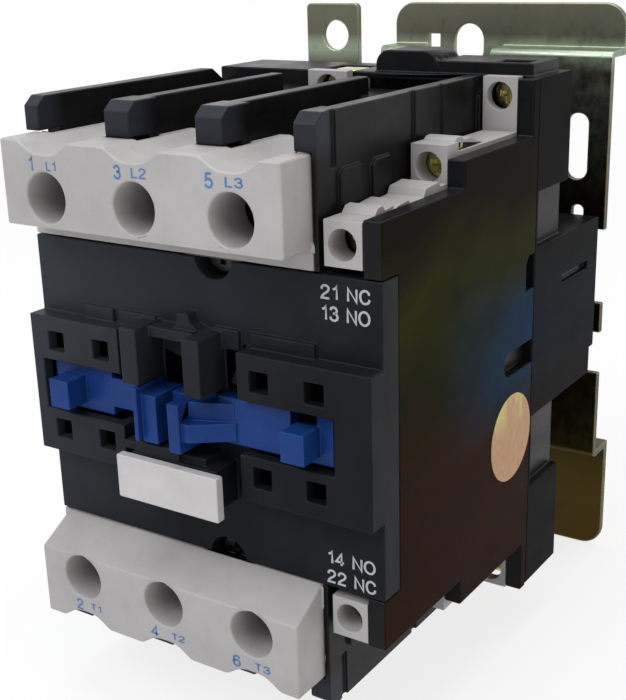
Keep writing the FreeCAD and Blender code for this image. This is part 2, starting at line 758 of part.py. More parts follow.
def pole_clamps(name, up):
    """Cage clamps: a wire lies between the bar and the screw's tip."""
    clamps = []
    for axis in POLES:
        label = f"{name}_{len(clamps) + 1}"
        cage = box(label + "_cage", (axis - 7.4, axis + 7.4), (88.0, 68.5), (30.5 * up, 44.0 * up))
        room = box(label + "_room", (axis - 6.2, axis + 6.2), (85.0, 70.8), (30.0 * up, 45.0 * up))
        tap = bore(label + "_tap", 2.6, axis, D.access_rise * up, (89.0, 84.0))
        clamps.append(cut(label, cage, [room, tap]))
    return group(name, clamps)


def pole_screws(name, up):
    screws = []
    for axis in POLES:
        label = f"{name}_{len(screws) + 1}"
        screws.append(screw(label, axis, D.access_rise * up, (4.2, 100.3, 96.0), (2.5, 96.0, 84.6)))
    return group(name, screws)


def fixed_contact_tips():
    tips = []
    for axis in POLES:
        for up in SIDES:
            label = f"fixed_tip_{len(tips) + 1}"
            tips.append(bore(label, D.tip_radius, axis, D.tip_rise * up, (74.95, 74.0)))
    return group("fixed_contact_tips", tips)


def arc_plates():
    """Steel splitter plates at both ends of every arc chamber."""
    plates = []
    for axis in POLES:
        for up in SIDES:
            for step in range(4):
                low = (17.0 + 2.0 * step) * up
                label = f"arc_plate_{len(plates) + 1}"
                plates.append(box(label, (axis - 6.3, axis + 6.3), (98.0, 86.0), (low, low + 0.8 * up)))
    return group("arc_plates", plates)


# ---------------------------------------------------------------- auxiliary circuits


def aux_fixed_contacts():
    """Strips of the normally open and normally closed circuits, two of each."""
    strips = []
    across = (D.column_axis - 2.5, D.column_axis + 2.5)
    for up in SIDES:
        name = f"open_strip_{'top' if up > 0 else 'low'}"
        pad_hole = bore(name + "_hole", 1.65, D.column_axis, D.step_one_rise * up, (98.0, 95.0))
        blank = join(name + "_blank", [
            box(name + "_leg", across, (85.8, 85.0), (7.5 * up, 30.0 * up)),
            box(name + "_shelf", across, (96.5, 85.0), (29.2 * up, 30.0 * up)),
            box(name + "_pad", across, (96.5, 95.7), (29.2 * up, 37.0 * up)),
        ])
        strips.append(cut(name, blank, [pad_hole]))
    for up in SIDES:
        name = f"closed_strip_{'top' if up > 0 else 'low'}"
        blank = box(name + "_leg", across, (70.0, 69.2), (7.5 * up, 44.6 * up))
        hole = bore(name + "_hole", 1.65, D.column_axis, D.step_two_rise * up, (71.0, 68.0))
        strips.append(cut(name, blank, [hole]))
    return group("aux_fixed_contacts", strips)


def aux_terminal_places():
    """Each auxiliary terminal's height and the depth of its strip's front face."""
    return [
        (D.step_one_rise, 96.5), (D.step_two_rise, 70.0),
        (-D.step_one_rise, 96.5), (-D.step_two_rise, 70.0),
    ]


def aux_terminal_screws():
    screws = []
    for z, face in aux_terminal_places():
        name = f"aux_screw_{len(screws) + 1}"
        head = (2.9, face + 2.9, face + 0.7)
        screws.append(screw(name, D.column_axis, z, head, (1.5, face + 0.7, face - 4.9)))
    return group("aux_terminal_screws", screws)


def terminal_washers():
    """Square clamping washers under the auxiliary and coil terminal screws."""
    places = [(D.column_axis, z, face) for z, face in aux_terminal_places()]
    places += [(x, z, 41.8) for x, z in coil_terminal_places()]
    washers = []
    for x, z, face in places:
        name = f"washer_{len(washers) + 1}"
        plate = box(name + "_plate", (x - 2.5, x + 2.5), (face + 0.65, face + 0.05), (z - 2.5, z + 2.5))
        washers.append(cut(name, plate, [bore(name + "_hole", 1.65, x, z, (face + 1, face - 1))]))
    return group("terminal_washers", washers)


# ---------------------------------------------------------------- front cover and guards


POST_LEFT = (-11.8, -8.0)
POST_RIGHT = (2.2, 5.9)
# X span, front depth and top of each catch above the label
LABEL_CLIPS = (((-14.4, -10.8), 111.0, -6.9), ((-10.8, -0.8), 112.0, -6.1), ((-0.8, 4.4), 111.0, -6.9))


def front_cover():
    """Front moulding with a raised band, the slider's slot and the accessory posts."""
    front, back, skin = D.cover_front, D.cover_back, D.cover_skin
    mid = D.centre_line
    bay_left, bay_right = mid - D.bay_reach, mid + D.bay_reach
    solids = [box("cover_plate", (-HALF_WIDTH, HALF_WIDTH), (front, back), (-D.cover_reach, D.cover_reach))]
    halves = ((-HALF_WIDTH, bay_left), (bay_right, HALF_WIDTH))
    for half in halves:
        solids.append(box("cover_band", half, (D.band_front, back), (-D.band_reach, D.band_reach)))
    blank = join("cover_blank", solids)
    hollows = [box("cover_hollow", (skin - HALF_WIDTH, HALF_WIDTH - skin), (front - skin, back - 1),
                   (skin - D.cover_reach, D.cover_reach - skin))]
    for left, right in halves:
        hollows.append(box("band_hollow", (left + skin, right - skin), (D.band_front - skin, back - 1),
                           (skin - D.band_reach, D.band_reach - skin)))
    shell = cut("cover_shell", blank, hollows)
    added = [shell]
    for post in (POST_LEFT, POST_RIGHT):
        added.append(box("cover_post", post, (D.post_front, front - skin), (5.2, 15.6)))
    for clip, reach, top in LABEL_CLIPS:
        added.append(box("cover_clip", clip, (reach, front - skin), (-8.6, top)))
    for side in SIDES:
        boss_rise = side * D.cover_screw_rise
        added.append(bore("cover_boss", 5.4, D.cover_screw_place, boss_rise, (front - 0.5, back)))
    added.append(box("cover_label_seat", (mid - 9.6, mid + 9.6), (112.0, front - skin), (-16.0, -8.3)))
    shelf = (POST_LEFT[0] + 1, POST_RIGHT[0] + 1)
    added.append(box("cover_shelf", shelf, (D.band_front, front - 1), (13.4, 15.4)))
    nub = [(-3.6, 15.2), (3.0, 15.2), (0.6, 16.6), (0.0, 18.3), (-2.2, 18.3), (-2.6, 16.6)]
    added.append(front_prism("cover_nub", nub, (108.4, front - 1)))
    for ridge in ((-26.0, -19.0), (-17.5, -9.0), (4.0, 9.5), (12.0, 25.0)):
        added.append(box("cover_ridge", ridge, (106.6, front - 1), (D.band_reach - 1, 16.2)))
    dressed = join("cover_dressed", added)
    tools = [
        box("cover_slot", (mid - D.slot_reach, mid + D.slot_reach), (115.0, back - 1),
            (-D.slot_rise, D.slot_rise)),
        box("cover_blade_room", (-9.4, 1.6), (115.0, back - 1), (-5.9, 0.0)),
    ]
    for side in SIDES:
        for reach in (D.window_near, D.window_far):
            for up in SIDES:
                x = mid + side * reach
                z = up * D.window_rise
                half = D.window_size / 2
                tools.append(box("cover_window", (x - half, x + half), (D.band_front + 1, back - 1),
                                 (z - half, z + half)))
        rise = side * D.cover_screw_rise
        tools.append(bore("cover_screw_well", 4.0, D.cover_screw_place, rise, (front + 1, 101.4)))
        tools.append(bore("cover_screw_way", 1.8, D.cover_screw_place, rise, (102.0, back - 1)))
    return cut("front_cover", dressed, tools)


def cover_screws():
    screws = []
    for up in SIDES:
        name = f"cover_screw_{len(screws) + 1}"
        screws.append(screw(name, D.cover_screw_place, D.cover_screw_rise * up,
                            (3.3, 102.9, 101.45), (1.5, 101.45, 90.0)))
    return group("cover_screws", screws)


# X spans of each terminal's floor between the barriers, beside the heads and behind them
FLOORS = (((-33.8, -18.3), (-33.8, -17.1)), ((-12.3, 1.8), (-13.5, 3.0)), ((7.8, 21.4), (6.6, 22.55)))


def power_guard(name, up):
    """Finger guard over one side's three power terminals."""
    front = D.body_depth - D.gap
    lip_low = D.cover_reach + 0.2
    across = (D.guard_left, D.guard_right)
    if up > 0:
        profile = [(front, D.guard_low), (front, D.guard_top), (D.guard_back, D.guard_top),
                   (D.guard_back, D.guard_low)]
    else:
        profile = [(front, -D.guard_top), (front, -32.9), (D.cover_front, -lip_low),
                   (D.guard_back, -lip_low), (D.guard_back, -D.guard_top)]
    block = side_prism(name + "_block", profile, across)
    cavity = box(name + "_cavity", (D.guard_left + 1.9, D.guard_right - 1.9), (110.0, D.guard_back - 1),
                 (33.4 * up, 42.6 * up))
    shell = cut(name + "_shell", block, [cavity])
    solids = [shell]
    lip = (lip_low * up, (D.guard_low + 1) * up)
    solids.append(box(name + "_lip", (-37.4, 24.8), (D.cover_front, D.lip_back), lip))
    for axis in POLES:
        tube = D.access_radius + 1.1
        solids.append(bore(name + "_tube", tube, axis, D.access_rise * up, (111.0, D.tube_back)))
    for narrow, wide in FLOORS:
        floor = (42.8 * up, 46.9 * up)
        solids.append(box(name + "_floor_front", narrow, (D.guard_back + 1, 97.6), floor))
        solids.append(box(name + "_floor", wide, (97.7, D.floor_back), floor))
    blank = join(name + "_blank", solids)
    tools = [bore(name + "_screw_room", 5.6, D.cover_screw_place, D.cover_screw_rise * up, (105.4, 100.0))]
    for axis in POLES:
        tools.append(bore(name + "_access", D.access_radius, axis, D.access_rise * up, (front + 1, 100.0)))
        tools.append(front_prism(name + "_trough", trough_outline(axis, up), (front + 1, D.floor_back - 1)))
    return cut(name, blank, tools)


def trough_outline(axis, up):
    """A soft-sided channel above a pole's terminal, in X and Z."""
    sides = 8
    curve = []
    for step in range(-sides, sides + 1):
        share = abs(step) / sides
        climb = 0.5 - 0.5 * math.cos(math.pi * share ** 1.6)
        rise = D.trough_floor + (D.guard_top - D.trough_floor + 0.05) * climb
        curve.append((axis + D.trough_half * step / sides, rise * up))
    return curve + [(axis + D.trough_half, 50.0 * up), (axis - D.trough_half, 50.0 * up)]


def aux_guard(name, up):
    """Stepped finger guard of the auxiliary column: three fronts joined by ramps and a cheek."""
    left, right = D.column_left, D.column_right
    across = (left, right)
    one, two, three = D.step_one_front, D.step_two_front, D.step_three_front
    ramp_one = [(95.2, 35.6 * up), (95.2, 37.2 * up), (94.6, 37.8 * up), (91.0, 38.1 * up), (90.2, 37.3 * up),
                (85.8, 37.6 * up), (85.0, 38.9 * up), (80.6, 39.3 * up), (79.8, 38.4 * up), (two, 38.5 * up),
                (two, 45.0 * up), (73.2, 45.0 * up), (73.2, 36.0 * up)]
    solids = [
        box(name + "_front", across, (one, 100.6), (29.6 * up, 37.2 * up)),
        side_prism(name + "_middle", ramp_one, across),
        box(name + "_ramp", across, (65.0, three), (41.9 * up, 43.4 * up)),
        box(name + "_rear", across, (three, 46.9), (41.9 * up, D.barrier_top * up)),
        box(name + "_cheek_one", (right - 0.6, right), (one, two), (33.0 * up, 37.2 * up)),
        box(name + "_cheek_two", (right - 0.6, right), (two, 50.05), (38.5 * up, 43.4 * up)),
    ]
    blank = join(name + "_blank", solids)
    places = ((D.step_one_rise, one), (D.step_two_rise, two), (D.step_three_rise, three))
    tools = []
    for rise, front in places:
        tools.append(bore(name + "_access", D.small_access, D.column_axis, rise * up, (front + 1, front - 6)))
    return cut(name, blank, tools)


def coil_terminal_guard():
    """Finger guard over the coil's start terminal."""
    name = "coil_terminal_guard"
    front = D.step_three_front
    axis = D.coil_start_axis
    block = box(name + "_block", (axis - 4.8, axis + 4.8), (front, 46.9), (41.9, D.barrier_top))
    hole = bore(name + "_access", D.small_access, axis, D.step_three_rise, (front + 1, 45.0))
    return cut(name, block, [hole])


def label_plate():
    """Clip-on writing plate in front of its seat on the cover."""
    mid = D.centre_line
    plate = box("label_plate_blank", (mid - 11.7, mid + 11.2), (D.body_depth, 112.1), (-17.0, -8.6))
    corner = lambda e: runs_along(e, FreeCAD.Vector(0, 1, 0))
    return rounded("label_plate", plate, 0.35, corner)


def inspection_sticker():
    """Round blank paper seal on the right-hand wall."""
    return rod("inspection_sticker", 9.0, "x", (HALF_WIDTH, 56.1, -15.7), 0.12)


# ---------------------------------------------------------------- moving system


def crossbar():
    """Blue slider seen in the cover's slot: it shows the state and drives add-on blocks."""
    front, back, rise = D.bar_front, D.bar_back, D.bar_rise
    wedge = [(1.2, front - 1), (1.2, 113.2), (2.6, 113.2), (9.4, front + 0.4), (9.4, front - 1)]
    brace = [(1.2, front - 1), (1.2, 111.0), (9.0, front + 0.2), (9.0, front - 1)]
    solids = [
        box("bar_left", (-33.6, -19.4), (front, back), (-rise, rise)),
        box("bar_neck", (-20.0, 6.0), (front, back), (-2.6, 3.2)),
        box("bar_right", (5.4, 20.6), (front, back), (-rise, rise)),
        box("bar_low", (20.0, 26.0), (front, back), (-rise, 1.6)),
        box("bar_end", (25.9, 29.1), (front, back), (-rise, rise)),
        box("bar_nub_left", (-30.7, -26.0), (112.8, front), (-2.9, 2.6)),
        box("bar_nub_right", (21.8, 26.5), (112.8, front), (-2.9, 2.6)),
        box("bar_hook_blade", (-9.0, -8.1), (D.body_depth, back), (-5.0, 5.0)),
        box("bar_hook_left", (-8.2, -4.9), (112.6, back), (-5.5, 3.6)),
        box("bar_hook_right", (-1.2, 1.3), (D.body_depth, back), (-5.6, 3.5)),
        level_prism("bar_wedge", wedge, (-3.5, -0.1)),
        level_prism("bar_brace", brace, (-0.2, 3.3)),
        box("bar_stem_left", (-25.0, -18.0), (back, D.carrier_front), (-3.0, 3.0)),
        box("bar_stem_right", (12.0, 19.0), (back, D.carrier_front), (-3.0, 3.0)),
    ]
    return join("crossbar", solids)


def contact_carrier():
    """Moulded beam that carries every moving contact and holds the armature at its back."""
    front, back, rise = D.carrier_front, D.carrier_back, D.carrier_rise
    ear_depths = (back - 2.8, 51.5)
    solids = [
        box("carrier_beam", (-32.5, 33.2), (front, back), (-rise, rise)),
        box("carrier_flange", (-8.5, 8.5), (back, back - 2.8), (-25.0, 25.0)),
        box("carrier_ear_top", (-8.5, 8.5), ear_depths, (13.3, 17.0)),
        box("carrier_ear_low", (-8.5, 8.5), ear_depths, (-17.0, -13.3)),
    ]
    blank = join("contact_carrier_blank", solids)
    seat = D.bridge_front - D.bridge_thick - D.gap
    tools = [box("carrier_window", (axis - 5.6, axis + 5.6), (92.0, seat), (-7.0, 7.0)) for axis in POLES]
    across = (D.column_axis - 2.6, D.column_axis + 2.4)
    tools.append(box("carrier_open_window", across, (93.5, 89.8), (-7.0, 7.0)))
    tools.append(box("carrier_closed_window", across, (71.6, 68.2), (-7.0, 7.0)))
    tools.append(rod("carrier_pin_hole", 2.55, "z", (0, 54.8, -20.0), 40.0))
    return cut("contact_carrier", blank, tools)


def moving_contacts():
    bridges = []
    back = D.bridge_front - D.bridge_thick
    reach = D.bridge_reach
    for axis in POLES:
        label = f"bridge_{len(bridges) + 1}"
        bridges.append(box(label, (axis - 4.5, axis + 4.5), (D.bridge_front, back), (-reach, reach)))
    return group("moving_contacts", bridges)


def moving_contact_tips():
    tips = []
    front = D.bridge_front - D.bridge_thick
    for axis in POLES:
        for up in SIDES:
            label = f"moving_tip_{len(tips) + 1}"
            tips.append(bore(label, D.tip_radius, axis, D.tip_rise * up, (front, front - D.tip_thick)))
    return group("moving_contact_tips", tips)


def aux_moving_contacts():
    across = (D.column_axis - 2.3, D.column_axis + 2.1)
    return group("aux_moving_contacts", [
        box("open_bridge", across, (90.7, 89.9), (-10.5, 10.5)),
        box("closed_bridge", across, (69.1, 68.3), (-10.5, 10.5)),
    ])


def contact_springs():
    """One compression spring in front of each bridge, giving the contacts their pressure."""
    springs = []
    for axis in POLES:
        def lay(low, high, x=axis.value):
            turn = FreeCAD.Rotation(FreeCAD.Vector(1, 0, 0), -90)
            return FreeCAD.Placement(FreeCAD.Vector(x, -high, 0), turn)
        name = f"contact_spring_{len(springs) + 1}"
        springs.append(coil_spring(name, 2.6, 0.35, 5, lay, (D.bridge_front + 0.05, 91.95)))
    return group("contact_springs", springs)


def armature():
    """Moving half of the magnet, with a hole for its cross pin."""
    outline = magnet_outline(D.core_face + D.travel + 0.1, 50.2, 59.0)
    blank = level_prism("armature_blank", outline, (-D.core_half_stack, D.core_half_stack))
    return cut("armature", blank, [rod("armature_hole", 2.6, "z", (0, 54.8, -20.0), 40.0)])


def armature_pin():
    return rod("armature_pin", 2.5, "z", (0, 54.8, -17.0), 34.0)


def return_springs():
    """Two springs that push the carrier back out when the coil is switched off."""
    springs = []
    for up in SIDES:
        def lay(low, high, z=20.8 * up):
            turn = FreeCAD.Rotation(FreeCAD.Vector(1, 0, 0), -90)
            return FreeCAD.Placement(FreeCAD.Vector(0, -high, z), turn)
        name = f"return_spring_{len(springs) + 1}"
        springs.append(coil_spring(name, 2.6, 0.45, 6, lay, (43.05, D.carrier_back - 2.85)))
    return group("return_springs", springs)


# ---------------------------------------------------------------- assembly and export


def build():
    return {
        "mounting_plate": mounting_plate(),
        "rail_latch": rail_latch(),
        "latch_spring": latch_spring(),
        "plate_screws": plate_screws(),
        "base_housing": base_housing(),
        "fixed_core": fixed_core(),
        "shading_rings": shading_rings(),
        "core_cushion": core_cushion(),
        "coil_bobbin": coil_bobbin(),
        "coil_winding": coil_winding(),
        "coil_terminals": coil_terminals(),
        "coil_terminal_screws": coil_terminal_screws(),
        "contact_housing": contact_housing(),
        "housing_screws": housing_screws(),
        "line_terminals": pole_bars("line_bars", 1),
        "load_terminals": pole_bars("load_bars", -1),
        "line_clamps": pole_clamps("line_cages", 1),
        "load_clamps": pole_clamps("load_cages", -1),
        "line_screws": pole_screws("line_screw", 1),
        "load_screws": pole_screws("load_screw", -1),
        "fixed_contact_tips": fixed_contact_tips(),
        "arc_plates": arc_plates(),
        "aux_fixed_contacts": aux_fixed_contacts(),
        "aux_terminal_screws": aux_terminal_screws(),
        "terminal_washers": terminal_washers(),
        "front_cover": front_cover(),
        "cover_screws": cover_screws(),
        "power_terminal_guard_top": power_guard("power_guard_top", 1),
        "power_terminal_guard_bottom": power_guard("power_guard_low", -1),
        "aux_terminal_guard_top": aux_guard("aux_guard_top", 1),
        "aux_terminal_guard_bottom": aux_guard("aux_guard_low", -1),
        "coil_terminal_guard": coil_terminal_guard(),
        "label_plate": label_plate(),
        "inspection_sticker": inspection_sticker(),
        "crossbar": crossbar(),
        "contact_carrier": contact_carrier(),
        "moving_contacts": moving_contacts(),
        "moving_contact_tips": moving_contact_tips(),
        "aux_moving_contacts": aux_moving_contacts(),
        "contact_springs": contact_springs(),
        "armature": armature(),
        "armature_pin": armature_pin(),
        "return_springs": return_springs(),
    }


def check(nodes):
    """Stops before anything is written if a feature failed or a sub-part has no valid shape."""
    failed = [o.Name for o in DOC.Objects if "Invalid" in o.State or "Error" in o.State]
    if failed:
        raise RuntimeError(f"failed features: {failed}")
    for name, piece in nodes.items():
        if piece.Shape.isNull() or not piece.Shape.isValid():
            raise RuntimeError(f"{name} has no valid shape")


def main():
    fill_sheet()
    nodes = build()
    DOC.recompute()
    for name, piece in nodes.items():
        piece.Label = name
    check(nodes)
    os.makedirs("parts", exist_ok=True)
    for name, piece in nodes.items():
        piece.Shape.exportStep(os.path.join("parts", f"{name}.step"))
        solids = len(piece.Shape.Solids)
        print(f"{name}: {solids} solid(s), {piece.Shape.Volume:.0f} mm3")


main()
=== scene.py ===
import json
import math

import bmesh
import bpy
from mathutils import Matrix, Vector

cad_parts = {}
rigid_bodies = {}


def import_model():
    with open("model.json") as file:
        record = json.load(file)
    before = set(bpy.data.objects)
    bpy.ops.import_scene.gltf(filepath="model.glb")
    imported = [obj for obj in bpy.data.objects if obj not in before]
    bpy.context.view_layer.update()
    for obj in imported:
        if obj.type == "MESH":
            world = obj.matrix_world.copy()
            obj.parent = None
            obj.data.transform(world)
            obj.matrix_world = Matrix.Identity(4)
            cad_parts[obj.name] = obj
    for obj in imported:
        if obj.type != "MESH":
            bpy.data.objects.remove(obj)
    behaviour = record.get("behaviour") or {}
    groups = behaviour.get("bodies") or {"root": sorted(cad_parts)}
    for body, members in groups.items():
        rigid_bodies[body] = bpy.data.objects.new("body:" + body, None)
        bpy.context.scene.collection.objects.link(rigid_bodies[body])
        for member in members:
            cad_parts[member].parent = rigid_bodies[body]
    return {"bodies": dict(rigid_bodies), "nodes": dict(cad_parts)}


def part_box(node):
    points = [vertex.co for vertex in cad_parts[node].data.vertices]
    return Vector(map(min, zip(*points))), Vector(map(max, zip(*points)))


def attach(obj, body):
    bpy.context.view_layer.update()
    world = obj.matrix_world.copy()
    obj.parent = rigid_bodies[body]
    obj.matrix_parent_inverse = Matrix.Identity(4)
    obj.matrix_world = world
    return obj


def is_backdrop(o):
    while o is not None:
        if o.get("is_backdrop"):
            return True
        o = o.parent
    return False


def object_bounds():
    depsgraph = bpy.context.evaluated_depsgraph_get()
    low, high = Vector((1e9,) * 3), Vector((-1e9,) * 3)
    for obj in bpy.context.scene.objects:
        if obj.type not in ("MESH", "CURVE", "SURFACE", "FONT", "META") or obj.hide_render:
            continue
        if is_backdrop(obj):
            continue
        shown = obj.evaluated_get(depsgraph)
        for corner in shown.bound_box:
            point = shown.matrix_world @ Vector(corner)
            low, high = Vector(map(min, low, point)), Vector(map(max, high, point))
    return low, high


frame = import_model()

MM = 0.001
NODES = frame["nodes"]
EDGE_SEGMENTS = 3
BANDS_PER_UNIT = 3.2      # of a wave texture whose scale is 1

for extra in list(bpy.data.objects):
    if extra not in NODES.values() and extra not in frame["bodies"].values():
        bpy.data.objects.remove(extra)

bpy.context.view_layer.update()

# ---------------------------------------------------------------- node trees


class Tree:
    """A Principled material whose nodes read the object's own coordinates, in millimetres."""

    def __init__(self, name, color, roughness, metallic=0.0, **sockets):
        self.material = bpy.data.materials.new(name)
        self.material.use_nodes = True
        self.nodes = self.material.node_tree.nodes
        self.links = self.material.node_tree.links
        self.nodes.clear()
        output = self.nodes.new("ShaderNodeOutputMaterial")
        self.shader = self.nodes.new("ShaderNodeBsdfPrincipled")
        self.links.new(self.shader.outputs[0], output.inputs[0])
        self.shader.inputs["Base Color"].default_value = (*color, 1)
        self.shader.inputs["Roughness"].default_value = roughness
        self.shader.inputs["Metallic"].default_value = metallic
        for socket, value in sockets.items():
            self.shader.inputs[socket.replace("_", " ")].default_value = value
        place = self.nodes.new("ShaderNodeTexCoord")
        scale = self.nodes.new("ShaderNodeVectorMath")
        scale.operation = "SCALE"
        scale.inputs["Scale"].default_value = 1 / MM
        self.links.new(place.outputs["Object"], scale.inputs[0])
        self.place = scale.outputs[0]
        self.normal = None

    def feed(self, socket, value):
        """Links a socket to a node's output, or sets it to a number or a colour."""
        if isinstance(value, bpy.types.NodeSocket):
            self.links.new(value, socket)
        elif isinstance(value, (tuple, list)) and len(value) == 3 and socket.type == "RGBA":
            socket.default_value = (*value, 1)
        else:
            socket.default_value = value

    def stretched(self, stretch):
        """The coordinates, multiplied by a factor for each axis."""
        node = self.nodes.new("ShaderNodeVectorMath")
        node.operation = "MULTIPLY"
        self.links.new(self.place, node.inputs[0])
        node.inputs[1].default_value = stretch
        return node.outputs[0]

    def noise(self, size, detail=3.0, rough=0.55, stretch=(1, 1, 1), distortion=0.0):
        """Noise whose lumps are about size millimetres across."""
        node = self.nodes.new("ShaderNodeTexNoise")
        self.links.new(self.stretched(stretch), node.inputs["Vector"])
        node.inputs["Scale"].default_value = 1 / size
        node.inputs["Detail"].default_value = detail
        node.inputs["Roughness"].default_value = rough
        node.inputs["Distortion"].default_value = distortion
        return node.outputs["Fac"]

    def stripes(self, size, direction):
        """Even bands across an axis, repeating about every size millimetres."""
        node = self.nodes.new("ShaderNodeTexWave")
        node.bands_direction = direction
        node.inputs["Scale"].default_value = 1 / (size * BANDS_PER_UNIT)
        self.links.new(self.place, node.inputs["Vector"])
        return node.outputs["Fac"]

    def ramp(self, value, *stops):
        """Stops are (place, colour); a colour may be one number."""
        node = self.nodes.new("ShaderNodeValToRGB")
        elements = node.color_ramp.elements
        while len(elements) < len(stops):
            elements.new(0.5)
        for element, (at, color) in zip(elements, stops):
            element.position = at
            element.color = (*color, 1) if isinstance(color, tuple) else (color, color, color, 1)
        self.links.new(value, node.inputs["Fac"])
        return node.outputs["Color"]

    def range(self, value, low, high, to_low=0.0, to_high=1.0):
        """Maps low to high onto to_low to to_high, and holds it at the ends."""
        node = self.nodes.new("ShaderNodeMapRange")
        self.links.new(value, node.inputs["Value"])
        limits = {"From Min": low, "From Max": high, "To Min": to_low, "To Max": to_high}
        for name, number in limits.items():
            node.inputs[name].default_value = number
        return node.outputs["Result"]

    def math(self, operation, first, second=0.0):
        node = self.nodes.new("ShaderNodeMath")
        node.operation = operation
        self.feed(node.inputs[0], first)
        self.feed(node.inputs[1], second)
        return node.outputs[0]

    def mix(self, share, first, second):
        """The first colour where share is 0 and the second where it is 1."""
        node = self.nodes.new("ShaderNodeMix")
        node.data_type = "RGBA"
        self.feed(node.inputs["Factor"], share)
        self.feed(node.inputs[6], first)
        self.feed(node.inputs[7], second)
        return node.outputs[2]

    def axis(self, name):
        """One of the object's coordinates, in millimetres."""
        node = self.nodes.new("ShaderNodeSeparateXYZ")
        self.links.new(self.place, node.inputs[0])
        return node.outputs[name]

    def wavy_rise(self, size, detail, rough, reach):
        """Z, pushed up by noise of the given size and reach in millimetres."""
        sway = self.math("MULTIPLY", self.noise(size, detail, rough), reach)
        return self.math("ADD", self.axis("Z"), sway)

    def edges(self, radius=0.35):
        """1 within a radius in millimetres of an edge and 0 on flats."""
        round_normal = self.nodes.new("ShaderNodeBevel")
        round_normal.samples = 3
        round_normal.inputs["Radius"].default_value = radius * MM
        surface = self.nodes.new("ShaderNodeNewGeometry")
        alike = self.nodes.new("ShaderNodeVectorMath")
        alike.operation = "DOT_PRODUCT"
        self.links.new(round_normal.outputs[0], alike.inputs[0])
        self.links.new(surface.outputs["Normal"], alike.inputs[1])
        return self.range(alike.outputs["Value"], 0.99, 0.86)

    def bump(self, height, strength, depth):
        """Adds relief: depth is the height of the relief in millimetres."""
        node = self.nodes.new("ShaderNodeBump")
        node.inputs["Strength"].default_value = strength
        node.inputs["Distance"].default_value = depth * MM
        self.links.new(height, node.inputs["Height"])
        if self.normal is not None:
            self.links.new(self.normal, node.inputs["Normal"])
        self.normal = node.outputs[0]

    def color(self, value):
        self.links.new(value, self.shader.inputs["Base Color"])

    def rough(self, value):
        self.links.new(value, self.shader.inputs["Roughness"])

    def done(self):
        if self.normal is not None:
            self.links.new(self.normal, self.shader.inputs["Normal"])
        return self.material


def lighter(color, factor, lift):
    return tuple(min(1.0, c * factor + lift) for c in color)


def moulded(name, dark, light, roughness, grain=0.22, relief=0.010, wear=0.25, worn=None,
            **sockets):
    """Moulded plastic: spark-eroded grain, cloudy tone, dull smears and slightly rubbed edges."""
    tree = Tree(name, dark, roughness, **sockets)
    cloud = tree.noise(9.0, 4.0, 0.6)
    tone = tree.mix(tree.range(cloud, 0.3, 0.7), dark, light)
    speck = tree.range(tree.noise(0.5, 2.0, 0.7), 0.62, 0.74, 0.0, 0.35)
    tone = tree.mix(speck, tone, lighter(light, 1.35, 0.004))
    if wear:
        patchy = tree.range(tree.noise(2.6, 3.0, 0.7), 0.35, 0.7, 0.1, wear)
        rub = tree.math("MULTIPLY", tree.edges(), patchy)
        tone = tree.mix(rub, tone, worn or lighter(light, 2.2, 0.03))
    tree.color(tone)
    smear = tree.noise(5.0, 5.0, 0.65, (1, 1, 0.35))
    tree.rough(tree.range(smear, 0.3, 0.72, roughness - 0.07, roughness + 0.09))
    tree.bump(tree.noise(grain, 2.0, 0.6), 0.55, relief)
    tree.bump(tree.noise(6.0, 2.0, 0.5), 0.35, 0.05)
    return tree


def metal(name, base, other, roughness):
    """Metal: cloudy plating, brushed streaks and small scratches."""
    brushed = (1, 1, 0.2)
    tree = Tree(name, base, roughness, 1.0)
    tone = tree.mix(tree.range(tree.noise(4.0, 4.0, 0.6), 0.3, 0.7), base, other)
    streaks = tree.range(tree.noise(0.8, 3.0, 0.6, brushed), 0.45, 0.75, 0.0, 0.35)
    tree.color(tree.mix(streaks, tone, lighter(base, 0.62, 0.0)))
    smear = tree.noise(2.2, 5.0, 0.7)
    tree.rough(tree.range(smear, 0.3, 0.7, roughness - 0.08, roughness + 0.12))
    tree.bump(tree.noise(0.35, 3.0, 0.6, brushed), 0.3, 0.012)
    return tree


# ---------------------------------------------------------------- materials by slot


# Right-hand wall of the housing, which takes painted reflections.
RIGHT_WALL_X = (37.2, 37.45)
# Front tips of the outer barriers, which are painted lighter as if lit from the front.
BARRIER_TIP_Y = (-99.0, -103.0)
BARRIER_TIP_Z = (46.0, 49.0)
# Bend of the mounting plate, which takes a painted highlight.
PLATE_BEND_HIGHLIGHT_Z = (50.5, 53.5, 55.0, 57.5)


def black_cover():
    """Blue-black grained plastic, with painted light making it paler towards its upper left."""
    tree = moulded("cover_black", (0.0056, 0.0062, 0.0080), (0.0090, 0.0099, 0.0124), 0.42,
                   grain=0.26, relief=0.012, wear=0.35, worn=(0.050, 0.055, 0.068),
                   Specular_IOR_Level=0.07)
    plain = tree.shader.inputs["Base Color"].links[0].from_socket
    # Painted light: a paler tone that rises towards the upper left and fades to the right and lower
    # down.
    slope = tree.math("SUBTRACT", tree.math("MULTIPLY", tree.axis("Z"), 0.9), tree.axis("X"))
    painted_light = tree.math("ADD", slope, tree.math("MULTIPLY", tree.noise(18.0, 4.0, 0.6), 24.0))
    share = tree.range(painted_light, -4.0, 62.0, 0.0, 0.62)
    tree.color(tree.mix(share, plain, (0.040, 0.044, 0.058)))
    return tree.done()


